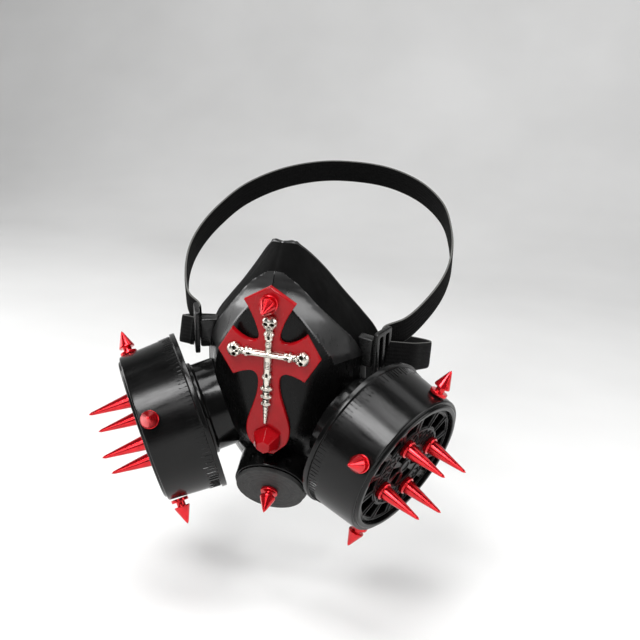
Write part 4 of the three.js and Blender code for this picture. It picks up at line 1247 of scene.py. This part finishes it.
class Cast:
    """The cast cross while it is modelled: added bodies and the pits to press into them."""

    def __init__(self):
        self.mesh = bmesh.new()
        self.pits = []
        self.turn = Matrix.Identity(4)

    def ball(self, x, y, rx, ry, rz, lift=0.0):
        matrix = self.turn @ Matrix.Translation((x, y, SILVER_SINK + lift)) @ Matrix.Diagonal((rx, ry, rz, 1))
        bmesh.ops.create_uvsphere(self.mesh, u_segments=20, v_segments=14, radius=1, matrix=matrix)

    def rod(self, x0, y0, x1, y1, r0, r1, lift=0.0):
        start = Vector((x0, y0, SILVER_SINK + lift))
        end = Vector((x1, y1, SILVER_SINK + lift))
        turn = Vector((0, 0, 1)).rotation_difference(end - start).to_matrix().to_4x4()
        matrix = self.turn @ Matrix.Translation((start + end) / 2) @ turn
        bmesh.ops.create_cone(self.mesh, cap_ends=True, segments=20, radius1=r0, radius2=r1,
                              depth=(end - start).length, matrix=matrix)

    def pit(self, x, y, rx, ry, depth):
        centre = self.turn @ Vector((x, y, 0))
        angle = self.turn.to_euler().z
        self.pits.append((centre.x, centre.y, rx, ry, angle, depth))

    def skull(self, at):
        """A skull with its crown towards +Y."""
        r, h, d = SKULL_RADIUS * 1.1, SKULL_LENGTH * 1.06, SKULL_DEPTH * 1.05
        self.ball(0, at + 0.28 * h, r, 0.72 * h, d)
        for side in (-1, 1):
            self.ball(side * 0.62 * r, at - 0.02 * h, 0.36 * r, 0.3 * h, 0.8 * d)
            self.ball(side * 0.42 * r, at - 0.3 * h, 0.34 * r, 0.26 * h, 0.82 * d)
            self.rod(side * 0.34 * r, at - 0.3 * h, side * 0.24 * r, at - 0.95 * h, 0.22 * r, 0.2 * r,
                     lift=0.5)
            self.pit(side * 0.42 * r, at + 0.1 * h, 0.31 * r, 0.23 * h, 1.9)
            self.pit(side * 0.9 * r, at + 0.2 * h, 0.16 * r, 0.2 * h, 0.8)
        self.ball(0, at - 0.62 * h, 0.5 * r, 0.42 * h, 0.78 * d)
        self.ball(0, at + 0.02 * h, 0.16 * r, 0.3 * h, 0.98 * d)
        self.pit(0, at - 0.18 * h, 0.15 * r, 0.12 * h, 1.2)
        for k in range(-2, 3):
            self.pit(k * 0.17 * r, at - 0.62 * h, 0.045 * r, 0.2 * h, 0.5)
        self.pit(0, at - 0.62 * h, 0.48 * r, 0.035 * h, 0.45)

    def knuckle(self, at, radius=KNUCKLE_RADIUS):
        """A bone end: two lobes over an arch."""
        for side in (-1, 1):
            self.ball(side * 0.45 * radius, at + 0.2 * radius, 0.55 * radius, 0.6 * radius, 0.85 * radius)
            self.rod(side * 0.55 * radius, at + 0.2 * radius, side * 0.45 * radius, at - 0.9 * radius,
                     0.36 * radius, 0.3 * radius, lift=0.3)
        self.pit(0, at - 0.35 * radius, 0.26 * radius, 0.5 * radius, 1.3)

    def bone_arm(self, length):
        self.rod(0, 0, 0, length, BAR_RADIUS * 0.9, BAR_RADIUS * 0.8)
        self.knuckle(length - SKULL_LENGTH - 0.75 * KNUCKLE_RADIUS)
        self.skull(length)

    def spine(self):
        self.rod(0, 0, 0, SILVER_BOTTOM * 0.74, BAR_RADIUS * 1.3, BAR_RADIUS * 1.15)
        self.knuckle(SILVER_BOTTOM * 0.31)
        for at, flare in ((0.47, 1.08), (0.585, 1.0), (0.69, 0.88)):
            y = SILVER_BOTTOM * at
            wide = KNUCKLE_RADIUS * flare
            self.rod(0, y - 1.9, 0, y + 1.1, 0.62 * wide, 0.9 * wide)
            for side in (-1, 1):
                self.ball(side * 0.72 * wide, y + 0.7, 0.42 * wide, 0.36 * wide, 0.62 * wide)
                self.pit(side * 0.42 * wide, y - 0.9, 0.2 * wide, 0.34 * wide, 0.9)
            self.ball(0, y + 0.2, 0.34 * wide, 0.5 * wide, 0.98 * wide)
            self.pit(0, y + 1.9, 0.6 * wide, 0.16 * wide, 1.0)
        self.rod(0, SILVER_BOTTOM * 0.72, 0, SILVER_BOTTOM, BAR_RADIUS * 1.05, 0.75)
        for k in range(3):
            self.pit(0, SILVER_BOTTOM * (0.79 + 0.055 * k), BAR_RADIUS, 0.22, 0.5)

    def crossing(self):
        """The plain round cross bar over a flat upright with engraved patches."""
        self.rod(-SILVER_ARM + SKULL_LENGTH, 0, SILVER_ARM - SKULL_LENGTH, 0, 1.15, 1.15, lift=1.5)
        for y in (-5.6, 5.0):
            self.ball(0, y, 1.75, 2.5, 1.9)
            for k in range(5):
                self.pit(0, y - 1.7 + 0.85 * k, 1.3, 0.2, 0.5)
        for k in range(4):
            self.pit(-0.9 + 0.6 * k, 0, 0.14, 1.2, 0.25)


def make_skull_cross():
    cast = Cast()
    for angle, length in ((0, SILVER_TOP), (math.pi / 2, SILVER_ARM), (-math.pi / 2, SILVER_ARM)):
        cast.turn = arm_frame(angle)
        cast.bone_arm(length)
    cast.turn = arm_frame(math.pi)
    cast.spine()
    cast.turn = Matrix.Identity(4)
    cast.crossing()
    mesh = bpy.data.meshes.new("cast_cross")
    bmesh.ops.scale(cast.mesh, vec=(MM, MM, MM), verts=cast.mesh.verts)
    cast.mesh.to_mesh(mesh)
    cast.mesh.free()
    made = bpy.data.objects.new("cast_cross", mesh)
    bpy.context.scene.collection.objects.link(made)
    remesh = made.modifiers.new("remesh", "REMESH")
    remesh.mode = "VOXEL"
    remesh.voxel_size = SILVER_VOXEL * MM
    smooth = made.modifiers.new("smooth", "SMOOTH")
    smooth.iterations = 3
    apply_modifiers(made)
    press_pits(made.data, cast.pits)
    made.matrix_world = metres(cross_frame() @ Matrix.Rotation(SILVER_TURN, 4, "Z"))
    made.data.shade_smooth()
    return finish_piece(made, "silver", "antique_silver", "skull_cross")


def press_pits(mesh, pits):
    """Pushes the front of the casting back inside each pit, and flattens its back onto the plate."""
    count = len(mesh.vertices)
    flat = np.empty(count * 3)
    mesh.vertices.foreach_get("co", flat)
    points = flat.reshape(-1, 3) / MM
    front = points[:, 2] > SILVER_SINK * 0.6
    for x, y, rx, ry, angle, depth in pits:
        dx, dy = points[:, 0] - x, points[:, 1] - y
        u = (dx * math.cos(angle) + dy * math.sin(angle)) / rx
        v = (-dx * math.sin(angle) + dy * math.cos(angle)) / ry
        inside = np.clip(1 - u * u - v * v, 0, 1)
        points[:, 2] -= np.where(front, depth * np.sqrt(inside), 0)
    points[:, 2] = np.maximum(points[:, 2], GAP / 2)
    mesh.vertices.foreach_set("co", (points * MM).reshape(-1))
    mesh.update()


def make_cross():
    make_cross_plate()
    make_skull_cross()
    at = cross_frame()
    top = tree_spike("cross_spike", TREE_SPIKE_LENGTH, at @ Matrix.Translation((0, TOP_SPIKE_RISE, GAP)))
    finish_piece(top, "red_metal", "red_metal", "cross_top_spike")
    turn = Matrix.Rotation(math.pi / 2, 4, "Z")
    foot = foot_stud("cross_stud", at @ Matrix.Translation((0, -FOOT_STUD_DROP, GAP)) @ turn)
    finish_piece(foot, "red_plate", "red_metal", "cross_foot_stud")


# Strap fittings. The buckle's frame has X along the strap, Y up and Z away from the cheek.

def rounded_rectangle(length, height, corner, centre=(0, 0)):
    points = []
    for k, (sx, sy) in enumerate(((1, 1), (-1, 1), (-1, -1), (1, -1))):
        middle = (centre[0] + sx * (length / 2 - corner), centre[1] + sy * (height / 2 - corner))
        for x, y in arc(corner, k * math.pi / 2, (k + 1) * math.pi / 2, 6):
            points.append((middle[0] + x, middle[1] + y))
    return points


def make_fitting(side, label, core):
    at = buckle_frame(side)
    slot_height = BUCKLE_HEIGHT - 2 * BUCKLE_BAR
    slot_length = (BUCKLE_LENGTH - 3 * BUCKLE_BAR) / 2
    slot_middle = (slot_length + BUCKLE_BAR) / 2
    outlines = [rounded_rectangle(BUCKLE_LENGTH, BUCKLE_HEIGHT, BUCKLE_CORNER)]
    outlines += [rounded_rectangle(slot_length, slot_height, 0.6, (x, 0)) for x in (-slot_middle,
                                                                                    slot_middle)]
    buckle = outlined(f"buckle_{label}", outlines, BUCKLE_THICK / 2, 0.6, at)
    finish_piece(buckle, "buckle", "buckle_plastic", f"strap_buckle_{label}")
    top = -BUCKLE_THICK / 2 - GAP
    forward = side * (LUG_LENGTH - BUCKLE_LENGTH) / 2
    lug = rounded_box(f"lug_{label}", (LUG_LENGTH, LUG_HEIGHT, LUG_REACH), (forward, 0, top - LUG_REACH / 2),
                      0.9, at)
    cut(lug, core, keep_cutter=True)
    shade_smooth(lug)
    finish_piece(lug, "buckle", "fitting_plastic", f"strap_lug_{label}")


# Straps. Each is a flat band whose route lies in one sloping plane, from buckle to buckle round the head.

def buckle_plan(along, out):
    """Place in plan of a point of the right buckle: along its length and out from its middle."""
    return np.array((BUCKLE_OUT + along * math.cos(BUCKLE_TURN) + out * math.sin(BUCKLE_TURN),
                     BUCKLE_BACK + along * math.sin(BUCKLE_TURN) - out * math.cos(BUCKLE_TURN)))


def strap_path(layer, route, half_width, reach, rise):
    """Route in the strap's plane, with each end turned round the rear bar into the buckle's slot."""
    start = buckle_plan(BUCKLE_LENGTH / 2 - STRAP_TUCK, layer)
    over = math.copysign(BUCKLE_THICK / 2 + STRAP_THICK / 2 + 0.15, layer)
    slot = (BUCKLE_LENGTH - 3 * BUCKLE_BAR) / 2
    slot_middle = (slot + BUCKLE_BAR) / 2
    ends = [(slot_middle, over * 0.42), (slot_middle + 0.15, over * 0.8), (slot_middle + 1.3, over * 1.02),
            (BUCKLE_LENGTH / 2 - 0.5, over)]
    points = []
    for along, out in ends:
        x, y = buckle_plan(along, out)
        points.append((x, (y - start[1]) / math.cos(rise), 0))
    points += [(out * half_width, back * reach, 0) for out, back in route]
    left = [(-x, y, z) for x, y, z in points[:-1]][::-1]
    return start, points + left


def make_strap(name, node_name, layer, lift, route, half_width, reach, rise):
    start, path = strap_path(layer, route, half_width, reach, rise)
    centre = even_points(path, STRAP_STEPS)
    tangent = np.gradient(centre, axis=0)
    tangent /= np.linalg.norm(tangent, axis=1, keepdims=True)
    outward = np.stack([tangent[:, 1], -tangent[:, 0], np.zeros(len(tangent))], 1)
    run = np.concatenate([[0], np.cumsum(np.linalg.norm(np.diff(centre, axis=0), axis=1))])
    section = []
    for across in np.linspace(-1, 1, 15):
        section.append((across * STRAP_WIDTH / 2, 0.5 - 0.22 * abs(across) ** 10))
    section += [(x, -y) for x, y in section[::-1]]
    vertices = []
    for point, out in zip(centre, outward):
        for across, depth in section:
            vertices.append(tuple(point + np.array((0, 0, across)) + out * depth * STRAP_THICK))
    width = len(section)
    faces = band_faces(len(centre), width, closed=False)
    plane = Matrix.Translation((0, start[1], -BUCKLE_DROP + lift)) @ Matrix.Rotation(rise, 4, "X")
    made = piece(name, vertices, faces, plane)
    layer_map = made.data.uv_layers.new(name=WEAVE)
    places = [(run[i // width] * MM, section[i % width][0] * MM) for i in range(len(vertices))]
    for loop in made.data.loops:
        layer_map.data[loop.index].uv = places[loop.vertex_index]
    return finish_piece(made, "webbing", "webbing", node_name)


# Stage

def curved_backdrop(floor):
    """Floor that sweeps up into a wall behind the mask."""
    half, front, bend, back, top, radius = 2600, -1500, 900, 1700, 2600, 800
    line = [(front, floor), (bend, floor)]
    for k in range(1, 25):
        turn = math.pi / 2 * k / 24
        line.append((bend + radius * math.sin(turn), floor + radius * (1 - math.cos(turn))))
    line.append((back, top))
    vertices = []
    for y, z in line:
        vertices += [(-half, y, z), (half, y, z)]
    faces = [(2 * k, 2 * k + 1, 2 * k + 3, 2 * k + 2) for k in range(len(line) - 1)]
    made = piece("floor", vertices, faces, own_frame.inverted())
    made.data.materials.append(floor_look())
    settle(made)
    return made


def floor_look():
    material = shader("floor_paper", (0.78, 0.78, 0.77), 0.7)
    place = coordinates(material)
    tone = noise(material, place, 300, detail=3)
    set_input(material, "Base Color", ramp(material, tone, [(0.3, (0.74, 0.74, 0.735)), (0.7, (0.82, 0.82,
                                                                                               0.815))]))
    bump(material, [(noise(material, place, 1.2, detail=3), 0.05)])
    return material


def area_light(name, place, target, size, power):
    data = bpy.data.lights.new(name, "AREA")
    data.shape = "RECTANGLE"
    data.size, data.size_y = size
    data.energy = power
    lamp = bpy.data.objects.new(name, data)
    bpy.context.scene.collection.objects.link(lamp)
    lamp.location = place
    lamp.rotation_euler = (Vector(target) - Vector(place)).to_track_quat("-Z", "Y").to_euler()
    return lamp


def make_lights():
    bpy.context.scene.view_settings.view_transform = "Standard"
    world = bpy.data.worlds.new("studio")
    bpy.context.scene.world = world
    world.use_nodes = True
    nodes, links = world.node_tree.nodes, world.node_tree.links
    nodes["Background"].inputs["Color"].default_value = (0.96, 0.97, 1, 1)
    path = nodes.new("ShaderNodeLightPath")
    strength = nodes.new("ShaderNodeMapRange")
    strength.inputs["To Min"].default_value = 0.05  # in reflections
    strength.inputs["To Max"].default_value = 0.62  # as seen directly
    links.new(path.outputs["Is Camera Ray"], strength.inputs["Value"])
    links.new(strength.outputs["Result"], nodes["Background"].inputs["Strength"])
    for light in LIGHTS:
        area_light(*light)


def make_camera():
    az, el, roll = CAMERA_AZIMUTH, CAMERA_ELEVATION, CAMERA_ROLL
    back = Vector((math.sin(az) * math.cos(el), -math.cos(az) * math.cos(el), math.sin(el)))
    right = Vector((math.cos(az), math.sin(az), 0))
    up = back.cross(right)
    across = right * math.cos(roll) + up * math.sin(roll)
    above = up * math.cos(roll) - right * math.sin(roll)
    place = back * CAMERA_DISTANCE - across * CAMERA_ASIDE - above * CAMERA_ALOFT
    matrix = Matrix((across, above, back)).transposed().to_4x4()
    matrix.translation = place
    data = bpy.data.cameras.new("camera")
    data.lens = CAMERA_LENS
    data.sensor_width = SENSOR_WIDTH
    data.clip_start = 0.01
    made = bpy.data.objects.new("camera", data)
    bpy.context.scene.collection.objects.link(made)
    made.matrix_world = metres(matrix)
    bpy.context.scene.camera = made


# The whole mask

core_body = face_core()
make_facepiece()
make_canister(1, "right", LONG_SPIKE_TURN_RIGHT, SIDE_SPIKES_RIGHT, core_body)
make_canister(-1, "left", LONG_SPIKE_TURN_LEFT, SIDE_SPIKES_LEFT, core_body)
make_valve(core_body)
make_cross()
make_fitting(1, "right", core_body)
make_fitting(-1, "left", core_body)
bpy.data.objects.remove(core_body)
make_strap("strap_over_head", "strap_upper", -STRAP_LAYER, UPPER_STRAP_LIFT, UPPER_ROUTE, HEAD_HALF_WIDTH,
           UPPER_STRAP_REACH, UPPER_STRAP_RISE)
make_strap("strap_round_neck", "strap_lower", STRAP_LAYER, -LOWER_STRAP_SINK, LOWER_ROUTE, NECK_HALF_WIDTH,
           LOWER_STRAP_REACH, LOWER_STRAP_RISE)
curved_backdrop(cad_box[0][2] / MM - FLOOR_CLEARANCE)
make_lights()
make_camera()
